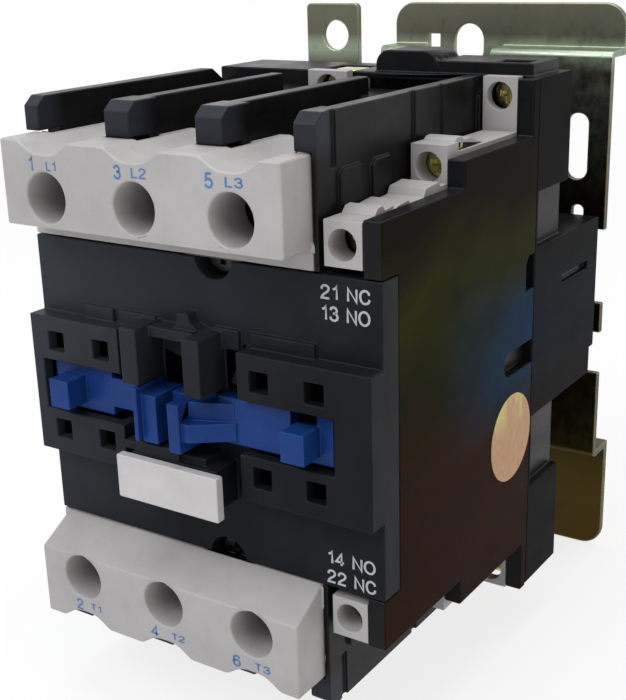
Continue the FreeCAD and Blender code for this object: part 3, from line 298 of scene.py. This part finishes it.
def black_housing(name, painted_sheen_share):
    """Glossier black; the right-hand wall carries painted reflections: olive, then blue, then
    red-brown.
    """
    tree = Tree(name, (0.006, 0.006, 0.006), 0.28, Specular_IOR_Level=0.10)
    cloud = tree.range(tree.noise(11.0, 4.0, 0.6), 0.3, 0.7)
    tone = tree.mix(cloud, (0.0040, 0.0041, 0.0046), (0.0085, 0.0088, 0.0100))
    # Painted reflections on the right-hand wall: olive, blue and red-brown bands by height and a blue
    # patch towards the back, broken up by near-black noise.
    share = tree.range(tree.wavy_rise(26.0, 4.0, 0.55, 20.0), -50.0, 64.0)
    painted_sheen = tree.ramp(share, (0.0, (0.009, 0.003, 0.001)), (0.22, (0.021, 0.006, 0.002)),
                      (0.46, (0.022, 0.008, 0.002)), (0.56, (0.010, 0.011, 0.002)),
                      (0.72, (0.021, 0.024, 0.002)), (0.82, (0.008, 0.006, 0.003)),
                      (1.0, (0.005, 0.004, 0.003)))
    back = tree.range(tree.axis("Y"), -86.0, -52.0)
    band = tree.ramp(share, (0.42, 0.0), (0.50, 1.0), (0.62, 1.0), (0.71, 0.0))
    painted_sheen = tree.mix(tree.math("MULTIPLY", back, band), painted_sheen, (0.008, 0.032, 0.070))
    veil = tree.range(tree.noise(9.0, 6.0, 0.65, (1, 0.6, 1)), 0.42, 0.70, 0.0, 0.55)
    painted_sheen = tree.mix(veil, painted_sheen, (0.007, 0.007, 0.006))
    wall = tree.range(tree.axis("X"), *RIGHT_WALL_X)
    tone = tree.mix(tree.math("MULTIPLY", wall, painted_sheen_share), tone, painted_sheen)
    glint = tree.range(wall, 0.0, 1.0, 0.10, 0.008)
    tree.feed(tree.shader.inputs["Specular IOR Level"], glint)
    # Painted light: the front tips of the outer barriers get a paler blue-grey tone, as if lit from the
    # front.
    outer = tree.range(tree.math("ABSOLUTE", tree.axis("Z")), *BARRIER_TIP_Z)
    painted_tip_light = tree.math("MULTIPLY", tree.range(tree.axis("Y"), *BARRIER_TIP_Y), outer)
    tone = tree.mix(tree.math("MULTIPLY", painted_tip_light, 0.8), tone, (0.026, 0.028, 0.038))
    patchy = tree.range(tree.noise(3.0, 3.0, 0.7), 0.35, 0.7, 0.1, 0.35)
    rub = tree.math("MULTIPLY", tree.edges(), patchy)
    tree.color(tree.mix(rub, tone, (0.040, 0.042, 0.048)))
    smear = tree.noise(7.0, 5.0, 0.65, (1, 0.35, 1))
    tree.rough(tree.range(smear, 0.3, 0.7, 0.24, 0.42))
    tree.bump(tree.noise(0.30, 2.0, 0.6), 0.35, 0.006)
    tree.bump(tree.noise(14.0, 2.0, 0.5), 0.4, 0.12)
    return tree.done()


def beige_guard():
    """Warm grey plastic with a fine grain, faint flow marks, a little dirt and painted shade in the
    corners.
    """
    tree = Tree("guard_beige", (0.37, 0.35, 0.34), 0.46, Specular_IOR_Level=0.3)
    cloud = tree.range(tree.noise(12.0, 4.0, 0.6), 0.3, 0.7)
    tone = tree.mix(cloud, (0.325, 0.310, 0.312), (0.385, 0.370, 0.372))
    dirt = tree.range(tree.noise(1.7, 5.0, 0.72), 0.60, 0.78, 0.0, 0.30)
    tone = tree.mix(dirt, tone, (0.20, 0.175, 0.15))
    speck = tree.range(tree.noise(0.35, 2.0, 0.6), 0.68, 0.76, 0.0, 0.35)
    tone = tree.mix(speck, tone, (0.22, 0.205, 0.19))
    # Painted shade: darker brown in corners and creases, read from ambient occlusion within 2 mm.
    corner = tree.nodes.new("ShaderNodeAmbientOcclusion")
    corner.inputs["Distance"].default_value = 2.0 * MM
    corner.samples = 6
    painted_corner_shade = tree.range(corner.outputs["AO"], 0.35, 0.85, 0.40, 0.0)
    tree.color(tree.mix(painted_corner_shade, tone, (0.15, 0.122, 0.092)))
    tree.rough(tree.range(tree.noise(4.0, 4.0, 0.6), 0.3, 0.7, 0.40, 0.54))
    tree.bump(tree.noise(0.24, 2.0, 0.6), 0.5, 0.012)
    tree.bump(tree.noise(5.0, 2.0, 0.5), 0.4, 0.05)
    return tree.done()


def blue_slider():
    """Satin royal blue plastic, paler where its edges are rubbed."""
    tree = moulded("slider_blue", (0.005, 0.025, 0.125), (0.009, 0.040, 0.180), 0.32,
                   grain=0.3, relief=0.008, wear=0.35, worn=(0.05, 0.14, 0.42),
                   Specular_IOR_Level=0.12)
    return tree.done()


def zinc_yellow():
    """Chromated zinc: plating tones with painted dark reflections by height, brown below, near black in
    the middle and pale grey-green above; painted highlights at the bend and along the edges; gold
    behind.
    """
    tree = Tree("zinc_yellow", (0.10, 0.09, 0.05), 0.34, 1.0)
    # Plating tones by height, darkened into painted reflections: brown low down, near black in the
    # middle, pale grey-green at the top.
    share = tree.range(tree.wavy_rise(16.0, 4.0, 0.6, 22.0), -56.0, 78.0)
    plating_and_painted_light = tree.ramp(share, (0.0, (0.042, 0.018, 0.003)), (0.20, (0.046, 0.030, 0.004)),
                     (0.36, (0.012, 0.011, 0.004)), (0.66, (0.006, 0.006, 0.005)),
                     (0.80, (0.070, 0.080, 0.064)), (1.0, (0.135, 0.140, 0.105)))
    drift = tree.noise(9.0, 5.0, 0.62, (1, 1, 0.7), 1.2)
    play = tree.ramp(drift, (0.30, (0.060, 0.090, 0.050)), (0.46, (0.130, 0.120, 0.050)),
                     (0.58, (0.150, 0.085, 0.060)), (0.72, (0.090, 0.105, 0.070)))
    plating_and_painted_light = tree.mix(0.13, plating_and_painted_light, play)
    surface = tree.nodes.new("ShaderNodeNewGeometry")
    facing = tree.nodes.new("ShaderNodeSeparateXYZ")
    tree.links.new(surface.outputs["True Normal"], facing.inputs[0])
    gold = tree.mix(tree.range(drift, 0.40, 0.62), (0.17, 0.19, 0.105), (0.24, 0.175, 0.085))
    plating_and_painted_light = tree.mix(tree.range(facing.outputs["Y"], 0.3, 0.7, 0.0, 0.8), plating_and_painted_light, gold)
    # Painted highlight: a pale green band across the bend of the plate.
    start, full, still_full, end = PLATE_BEND_HIGHLIGHT_Z
    height = tree.axis("Z")
    bend_highlight = tree.math("MULTIPLY", tree.range(height, start, full), tree.range(height, end, still_full))
    plating_and_painted_light = tree.mix(tree.math("MULTIPLY", bend_highlight, 0.7), plating_and_painted_light, (0.30, 0.36, 0.27))
    # Painted highlight: pale green-yellow along the rounded edges of the plate.
    edge_highlight = tree.mix(tree.range(drift, 0.45, 0.58), (0.46, 0.52, 0.34), (0.66, 0.50, 0.30))
    plating_and_painted_light = tree.mix(tree.math("MULTIPLY", tree.edges(0.5), 0.75), plating_and_painted_light, edge_highlight)
    stain = tree.range(tree.noise(2.4, 5.0, 0.7, (1, 1, 0.5)), 0.58, 0.76, 0.0, 0.5)
    tree.color(tree.mix(stain, plating_and_painted_light, (0.050, 0.040, 0.022)))
    tree.rough(tree.range(tree.noise(3.0, 5.0, 0.7), 0.3, 0.7, 0.28, 0.48))
    tree.bump(tree.noise(0.9, 3.0, 0.6, (1, 1, 0.15)), 0.25, 0.02)
    tree.bump(tree.noise(0.22, 2.0, 0.6), 0.25, 0.008)
    return tree.done()


def laminated_steel():
    """Dull steel with the fine ridges of its stacked sheets."""
    tree = metal("laminated_steel", (0.36, 0.35, 0.34), (0.46, 0.45, 0.44), 0.42)
    tree.bump(tree.stripes(0.5, "Z"), 0.8, 0.05)
    return tree.done()


def enamelled_copper():
    """Red-brown enamel over the ridges of a wound coil."""
    tree = metal("enamelled_copper", (0.50, 0.20, 0.09), (0.62, 0.27, 0.12), 0.30)
    tree.bump(tree.stripes(0.32, "Y"), 1.0, 0.10)
    return tree.done()


def paper_seal():
    """Round paper seal: peach, fibrous, with a painted greenish glint towards its top edge."""
    tree = Tree("seal_paper", (0.42, 0.23, 0.12), 0.46, Specular_IOR_Level=0.3)
    fibre = tree.range(tree.noise(0.9, 5.0, 0.7, (1, 1, 0.5)), 0.3, 0.7)
    tone = tree.mix(fibre, (0.370, 0.200, 0.095), (0.480, 0.270, 0.140))
    streak = tree.range(tree.noise(3.0, 2.0, 0.5, (1, 1, 0.25)), 0.40, 0.62)
    # Painted highlight: a greenish glint painted into the colour towards the top edge, in streaks.
    top = tree.range(tree.wavy_rise(4.0, 3.0, 0.6, 3.0), -13.0, -5.0, 0.0, 0.95)
    tone = tree.mix(tree.math("MULTIPLY", top, streak), tone, (0.56, 0.60, 0.14))
    blot = tree.range(tree.noise(2.0, 4.0, 0.7), 0.6, 0.75, 0.0, 0.3)
    tree.color(tree.mix(blot, tone, (0.26, 0.14, 0.07)))
    tree.rough(tree.range(tree.noise(1.4, 3.0, 0.6), 0.3, 0.7, 0.34, 0.52))
    tree.bump(tree.noise(0.3, 3.0, 0.7), 0.4, 0.02)
    return tree.done()


LOOKS = {
    "black_housing": black_housing("housing_black", 0.97),
    "black_cover": black_cover(),
    "beige_guard": beige_guard(),
    "blue_slider": blue_slider(),
    "zinc_yellow": zinc_yellow(),
    "brass": metal("screw_brass", (0.50, 0.44, 0.17), (0.66, 0.62, 0.30), 0.26).done(),
    "steel": metal("plated_steel", (0.34, 0.34, 0.33), (0.43, 0.43, 0.41), 0.34).done(),
    "spring_steel": metal("spring_steel", (0.40, 0.39, 0.37), (0.52, 0.50, 0.47), 0.28).done(),
    "copper": metal("bar_copper", (0.72, 0.36, 0.22), (0.80, 0.46, 0.30), 0.30).done(),
    "silver": metal("tip_silver", (0.78, 0.77, 0.74), (0.86, 0.85, 0.82), 0.26).done(),
    "laminated_steel": laminated_steel(),
    "enamelled_copper": enamelled_copper(),
    "bobbin_nylon": moulded("bobbin_nylon", (0.50, 0.47, 0.38), (0.58, 0.55, 0.46), 0.38,
                            wear=0).done(),
    "rubber": moulded("cushion_rubber", (0.012, 0.012, 0.012), (0.022, 0.021, 0.020), 0.75,
                      wear=0).done(),
    "label_white": moulded("label_ivory", (0.42, 0.405, 0.41), (0.48, 0.465, 0.47), 0.34,
                           grain=0.4, relief=0.005, wear=0).done(),
    "paper_seal": paper_seal(),
}
OWN_LOOKS = {
    "cover_screws": metal("blackened_steel", (0.030, 0.030, 0.032), (0.060, 0.060, 0.062),
                          0.36).done(),
    "base_housing": black_housing("base_black", 0.12),
}
INK_WHITE = moulded("ink_white", (0.30, 0.32, 0.35), (0.38, 0.40, 0.43), 0.5, wear=0).done()
INK_BLUE = moulded("ink_blue", (0.045, 0.130, 0.300), (0.065, 0.165, 0.350), 0.5, wear=0).done()

# ---------------------------------------------------------------- moulded edges on the CAD nodes

# Radii in mm; the thin steps of the auxiliary guards take only a small one.
EDGE_RADIUS = {"contact_housing": 0.30, "base_housing": 0.35, "front_cover": 0.28,
               "crossbar": 0.18, "power_terminal_guard_top": 0.45,
               "power_terminal_guard_bottom": 0.45, "label_plate": 0.25,
               "mounting_plate": 0.28, "rail_latch": 0.25, "aux_terminal_guard_top": 0.05,
               "aux_terminal_guard_bottom": 0.05, "coil_terminal_guard": 0.25,
               "inspection_sticker": 0.03}
PLAIN_EDGE = 0.12
FINE_NODES = ("contact_springs", "return_springs", "latch_spring")


def soften_edges(node, radius):
    """Welds the mesh, merges flat faces and rounds its edges; springs are only welded."""
    weld = node.modifiers.new("weld", "WELD")
    weld.merge_threshold = 1e-6
    if node.name in FINE_NODES:
        return
    flat = node.modifiers.new("flat", "DECIMATE")
    flat.decimate_type = "DISSOLVE"
    flat.angle_limit = math.radians(1.0)
    bevel = node.modifiers.new("edge", "BEVEL")
    bevel.width = radius * MM
    bevel.segments = EDGE_SEGMENTS
    bevel.limit_method = "ANGLE"
    bevel.angle_limit = math.radians(35)
    bevel.use_clamp_overlap = False
    bevel.harden_normals = True


for name, node in NODES.items():
    for material_slot in node.material_slots:
        slot_look = LOOKS[material_slot.material.name.split(".")[0]]
        material_slot.material = OWN_LOOKS.get(name, slot_look)
    soften_edges(node, EDGE_RADIUS.get(name, PLAIN_EDGE))


def add_piece(name, bm, material):
    """Puts a finished bmesh in the scene as an object of its own."""
    mesh = bpy.data.meshes.new(name)
    bm.to_mesh(mesh)
    bm.free()
    mesh.materials.append(material)
    piece = bpy.data.objects.new(name, mesh)
    bpy.context.scene.collection.objects.link(piece)
    return piece


# ---------------------------------------------------------------- terminal marks


# Strokes of each character in a box 1 high: its width, then one list of points for each stroke.
GLYPHS = {
    "1": (0.42, [[(0.04, 0.77), (0.18, 0.81), (0.28, 0.88), (0.33, 1.0), (0.33, 0.0)]]),
    "2": (0.62, [[(0.03, 0.68), (0.05, 0.84), (0.15, 0.96), (0.31, 1.0), (0.48, 0.95), (0.57, 0.82),
                  (0.56, 0.66), (0.45, 0.50), (0.24, 0.34), (0.08, 0.18), (0.02, 0.0),
                  (0.60, 0.0)]]),
    "3": (0.62, [[(0.04, 0.76), (0.10, 0.92), (0.28, 1.0), (0.46, 0.95), (0.55, 0.79), (0.50, 0.62),
                  (0.38, 0.54), (0.24, 0.53)],
                 [(0.38, 0.54), (0.53, 0.45), (0.60, 0.29), (0.55, 0.11), (0.38, 0.0), (0.18, 0.02),
                  (0.05, 0.12), (0.02, 0.27)]]),
    "4": (0.62, [[(0.62, 0.27), (0.0, 0.27), (0.43, 1.0), (0.43, 0.0)]]),
    "5": (0.62, [[(0.56, 1.0), (0.13, 1.0), (0.06, 0.50), (0.20, 0.61), (0.37, 0.63), (0.53, 0.53),
                  (0.60, 0.33), (0.54, 0.12), (0.37, 0.0), (0.17, 0.02), (0.05, 0.11),
                  (0.02, 0.24)]]),
    "6": (0.62, [[(0.56, 0.78), (0.49, 0.94), (0.33, 1.0), (0.16, 0.93), (0.05, 0.72), (0.02, 0.40),
                  (0.07, 0.13), (0.20, 0.0), (0.40, 0.0), (0.56, 0.12), (0.60, 0.31), (0.54, 0.50),
                  (0.38, 0.60), (0.18, 0.55), (0.04, 0.36)]]),
    "C": (0.74, [[(0.70, 0.70), (0.63, 0.88), (0.50, 0.98), (0.33, 1.0), (0.15, 0.90), (0.04, 0.70),
                  (0.02, 0.45), (0.08, 0.18), (0.22, 0.03), (0.40, 0.0), (0.58, 0.07), (0.68, 0.20),
                  (0.71, 0.36)]]),
    "L": (0.54, [[(0.0, 1.0), (0.0, 0.0), (0.54, 0.0)]]),
    "N": (0.66, [[(0.0, 0.0), (0.0, 1.0), (0.64, 0.0), (0.64, 1.0)]]),
    "O": (0.80, [[(0.78 * (0.5 + 0.5 * math.cos(turn * math.pi / 10)),
                   0.5 + 0.5 * math.sin(turn * math.pi / 10)) for turn in range(21)]]),
    "T": (0.62, [[(0.0, 1.0), (0.62, 1.0)],
                 [(0.31, 1.0), (0.31, 0.0)]]),
    " ": (0.30, []),
}
STROKE = 0.17
GLYPH_GAP = 0.24
MARK_RELIEF = 0.04
MARK_ROOT = -0.05


def sides_of(points, half):
    """Two lines at half the stroke's width on either side of a run of points, mitred at its corners."""
    lefts, rights = [], []
    for index, point in enumerate(points):
        before = (point - points[index - 1]).normalized() if index else None
        after = (points[index + 1] - point).normalized() if index < len(points) - 1 else None
        along = ((before or after) + (after or before)).normalized()
        normal = Vector((-along.y, along.x))
        reach = half / max(0.5, abs(normal.dot(Vector((-(after or before).y, (after or before).x)))))
        lefts.append(point + normal * reach)
        rights.append(point - normal * reach)
    return lefts, rights


def mark(name, text, face_y, across, rise, ink):
    """Printed characters on a face that looks along -Y, filling the given X and Z spans in mm."""
    width = sum(GLYPHS[c][0] for c in text) + GLYPH_GAP * (len(text) - 1) + STROKE
    stretch_x = (across[1] - across[0]) / width
    stretch_z = (rise[1] - rise[0]) / (1 + STROKE)
    bm = bmesh.new()

    def corner(point, lift):
        x = across[0] + (point.x + STROKE / 2) * stretch_x
        z = rise[0] + (point.y + STROKE / 2) * stretch_z
        return bm.verts.new((x * MM, face_y - lift * MM, z * MM))

    pen = 0.0
    for letter in text:
        glyph_width, strokes = GLYPHS[letter]
        for stroke in strokes:
            points = [Vector((pen + x, z)) for x, z in stroke]
            lefts, rights = sides_of(points, STROKE / 2)
            sides = list(zip(lefts, rights))
            tops = [(corner(a, MARK_RELIEF), corner(b, MARK_RELIEF)) for a, b in sides]
            feet = [(corner(a, MARK_ROOT), corner(b, MARK_ROOT)) for a, b in sides]
            for (a, b), (c, d), (e, f), (g, h) in zip(tops, tops[1:], feet, feet[1:]):
                bm.faces.new((a, c, d, b))
                bm.faces.new((a, e, g, c))
                bm.faces.new((b, d, h, f))
            bm.faces.new((tops[0][0], tops[0][1], feet[0][1], feet[0][0]))
            bm.faces.new((tops[-1][1], tops[-1][0], feet[-1][0], feet[-1][1]))
        pen += glyph_width + GLYPH_GAP
    bmesh.ops.recalc_face_normals(bm, faces=bm.faces[:])
    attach(add_piece(name, bm, ink), "starter")


COVER_FACE = -105.8 * MM
GUARD_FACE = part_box("power_terminal_guard_top")[0].y
COVER_MARKS = (("21 NC", (26.0, 35.5), (24.1, 26.6)), ("13 NO", (26.0, 35.4), (20.5, 23.1)),
               ("14 NO", (26.0, 35.8), (-23.6, -21.0)), ("22 NC", (25.9, 35.9), (-27.3, -24.7)))
GUARD_MARKS = (("1", (-29.2, -27.8), (41.8, 44.5)), ("L1", (-24.9, -22.4), (42.2, 43.9)),
               ("3", (-9.3, -7.6), (42.0, 44.5)), ("L2", (-5.4, -2.1), (42.5, 44.3)),
               ("5", (9.9, 11.7), (42.1, 44.7)), ("L3", (14.0, 17.6), (42.6, 44.3)),
               ("2", (-27.9, -26.1), (-44.6, -42.2)), ("T1", (-24.3, -21.3), (-43.9, -42.5)),
               ("4", (-8.9, -6.9), (-44.7, -42.3)), ("T2", (-3.9, -0.6), (-44.0, -42.6)),
               ("6", (10.3, 12.2), (-44.8, -42.4)), ("T3", (15.2, 18.7), (-44.2, -42.7)))
for text, across, rise in COVER_MARKS:
    mark("mark_" + text.replace(" ", "_"), text, COVER_FACE, across, rise, INK_WHITE)
for text, across, rise in GUARD_MARKS:
    mark("mark_" + text, text, GUARD_FACE, across, rise, INK_BLUE)

# ---------------------------------------------------------------- ramps of the auxiliary guards

CAP_SPAN = (27.1, 33.3)
# Side outline of each cap as (depth from the wall, rise), for the upper guard.
CAPS = {
    "ramp_cap_one": ((100.7, 37.25), (99.6, 38.3), (98.2, 38.5), (97.4, 37.6), (95.3, 37.8),
                     (94.7, 37.9), (94.7, 37.1), (100.7, 37.1)),
    "ramp_cap_two": ((73.3, 45.05), (72.4, 45.6), (70.8, 45.7), (69.6, 44.9), (67.0, 45.0),
                     (65.2, 44.2), (62.4, 43.5), (62.4, 43.35), (73.3, 44.9)),
}


def ramp_cap(name, outline, up):
    """Beige step that covers the inner end of a contact behind its screw hole."""
    bm = bmesh.new()
    rows = [[bm.verts.new((x * MM, -depth * MM, rise * up * MM)) for depth, rise in outline]
            for x in CAP_SPAN]
    for index in range(len(outline)):
        after = (index + 1) % len(outline)
        bm.faces.new((rows[0][index], rows[0][after], rows[1][after], rows[1][index]))
    for row in rows:
        bm.faces.new(row)
    bmesh.ops.recalc_face_normals(bm, faces=bm.faces[:])
    piece = add_piece(name, bm, LOOKS["beige_guard"])
    bevel = piece.modifiers.new("edge", "BEVEL")
    bevel.width = PLAIN_EDGE * MM
    bevel.segments = EDGE_SEGMENTS
    bevel.harden_normals = True
    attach(piece, "starter")


for name, outline in CAPS.items():
    ramp_cap(name + "_top", outline, 1)
    ramp_cap(name + "_low", outline, -1)

# ---------------------------------------------------------------- floor, camera and light

FLOOR_RADIUS = 6.0
FLOOR_DROP = 0.0006
FLOOR_TONE = (0.86, 0.86, 0.86, 1)
FLOOR_FADE = {"From Min": 0.15, "From Max": 0.9, "To Min": 0.80, "To Max": 1.0}
FILL_LIGHT = 0.42
LAMP_TARGET = (0, -0.06, 0)
# Name, place, size, power and colour of each lamp.
LAMPS = (
    ("key", (-0.25, -0.75, 0.75), (0.7, 0.5), 6.7, (0.95, 0.975, 1.0)),
    ("side", (0.75, -0.30, 0.35), (0.5, 0.5), 1.3, (1.0, 0.93, 0.86)),
    ("top", (0.05, -0.05, 0.95), (0.6, 0.6), 5.0, (1, 1, 1)),
)
CAMERA_ANGLES = (33.914, 18.494, -1.644)      # turn to the right, rise and roll, in degrees
CAMERA_PLACE = (130.51, -263.84, 78.72)
CAMERA_SENSOR = 36
CAMERA_LENS = 70.313


def either(links, nodes, first, second):
    """1 for a ray of either kind."""
    node = nodes.new("ShaderNodeMath")
    node.operation = "MAXIMUM"
    links.new(first, node.inputs[0])
    links.new(second, node.inputs[1])
    return node.outputs[0]


def floor_material():
    """Pale paint that shows its shadow near the part and turns white far out."""
    material = bpy.data.materials.new("floor_pale")
    material.use_nodes = True
    nodes, links = material.node_tree.nodes, material.node_tree.links
    nodes.clear()
    output = nodes.new("ShaderNodeOutputMaterial")
    paint = nodes.new("ShaderNodeBsdfDiffuse")
    paint.inputs["Color"].default_value = FLOOR_TONE
    glow = nodes.new("ShaderNodeEmission")
    mixed = nodes.new("ShaderNodeMixShader")
    path = nodes.new("ShaderNodeLightPath")
    place = nodes.new("ShaderNodeTexCoord")
    length = nodes.new("ShaderNodeVectorMath")
    length.operation = "LENGTH"
    fade = nodes.new("ShaderNodeMapRange")
    for socket, value in FLOOR_FADE.items():
        fade.inputs[socket].default_value = value
    seen = either(links, nodes, path.outputs["Is Camera Ray"], path.outputs["Is Glossy Ray"])
    share = nodes.new("ShaderNodeMath")
    share.operation = "MULTIPLY"
    links.new(place.outputs["Object"], length.inputs[0])
    links.new(length.outputs["Value"], fade.inputs["Value"])
    links.new(seen, share.inputs[0])
    links.new(fade.outputs["Result"], share.inputs[1])
    links.new(share.outputs[0], mixed.inputs["Fac"])
    links.new(paint.outputs[0], mixed.inputs[1])
    links.new(glow.outputs[0], mixed.inputs[2])
    links.new(mixed.outputs[0], output.inputs["Surface"])
    return material


def floor(low):
    """Round pale floor just below the part."""
    bm = bmesh.new()
    bmesh.ops.create_circle(bm, cap_ends=True, radius=FLOOR_RADIUS, segments=96)
    piece = add_piece("floor", bm, floor_material())
    piece.location = (0, 0, low - FLOOR_DROP)
    piece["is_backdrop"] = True


def surroundings():
    """White to the camera, reflections and clear parts; a soft grey fill to everything else."""
    world = bpy.data.worlds.new("studio")
    bpy.context.scene.world = world
    world.use_nodes = True
    nodes, links = world.node_tree.nodes, world.node_tree.links
    nodes.clear()
    output = nodes.new("ShaderNodeOutputWorld")
    fill = nodes.new("ShaderNodeBackground")
    fill.inputs["Strength"].default_value = FILL_LIGHT
    white = nodes.new("ShaderNodeBackground")
    mixed = nodes.new("ShaderNodeMixShader")
    path = nodes.new("ShaderNodeLightPath")
    for background in (fill, white):
        background.inputs["Color"].default_value = (1, 1, 1, 1)
    seen = either(links, nodes, path.outputs["Is Camera Ray"], path.outputs["Is Glossy Ray"])
    seen = either(links, nodes, seen, path.outputs["Is Transmission Ray"])
    links.new(seen, mixed.inputs["Fac"])
    links.new(fill.outputs[0], mixed.inputs[1])
    links.new(white.outputs[0], mixed.inputs[2])
    links.new(mixed.outputs[0], output.inputs["Surface"])


def lamp(name, place, size, power, color):
    """Rectangular lamp that faces the part."""
    light = bpy.data.lights.new(name, "AREA")
    light.shape = "RECTANGLE"
    light.size, light.size_y = size
    light.energy = power
    light.color = color
    piece = bpy.data.objects.new(name, light)
    piece.location = place
    direction = Vector(LAMP_TARGET) - Vector(place)
    piece.rotation_euler = direction.to_track_quat("-Z", "Y").to_euler()
    bpy.context.scene.collection.objects.link(piece)


def camera():
    """Above and to the right of the part's front, looking down at it."""
    turn, rise, roll = (math.radians(angle) for angle in CAMERA_ANGLES)
    level = math.cos(rise)
    back = Vector((math.sin(turn) * level, -math.cos(turn) * level, math.sin(rise)))
    right = Vector((math.cos(turn), math.sin(turn), 0))
    up = back.cross(right)
    across = right * math.cos(roll) + up * math.sin(roll)
    above = up * math.cos(roll) - right * math.sin(roll)
    lens = bpy.data.cameras.new("camera")
    lens.sensor_fit = "HORIZONTAL"
    lens.sensor_width = CAMERA_SENSOR
    lens.lens = CAMERA_LENS
    lens.clip_start = 0.01
    piece = bpy.data.objects.new("camera", lens)
    matrix = Matrix((across, above, back)).transposed().to_4x4()
    matrix.translation = Vector(CAMERA_PLACE) * MM
    piece.matrix_world = matrix
    bpy.context.scene.collection.objects.link(piece)
    bpy.context.scene.camera = piece


floor(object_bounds()[0].z)
surroundings()
for settings in LAMPS:
    lamp(*settings)
camera()
bpy.context.scene.view_settings.view_transform = "Standard"
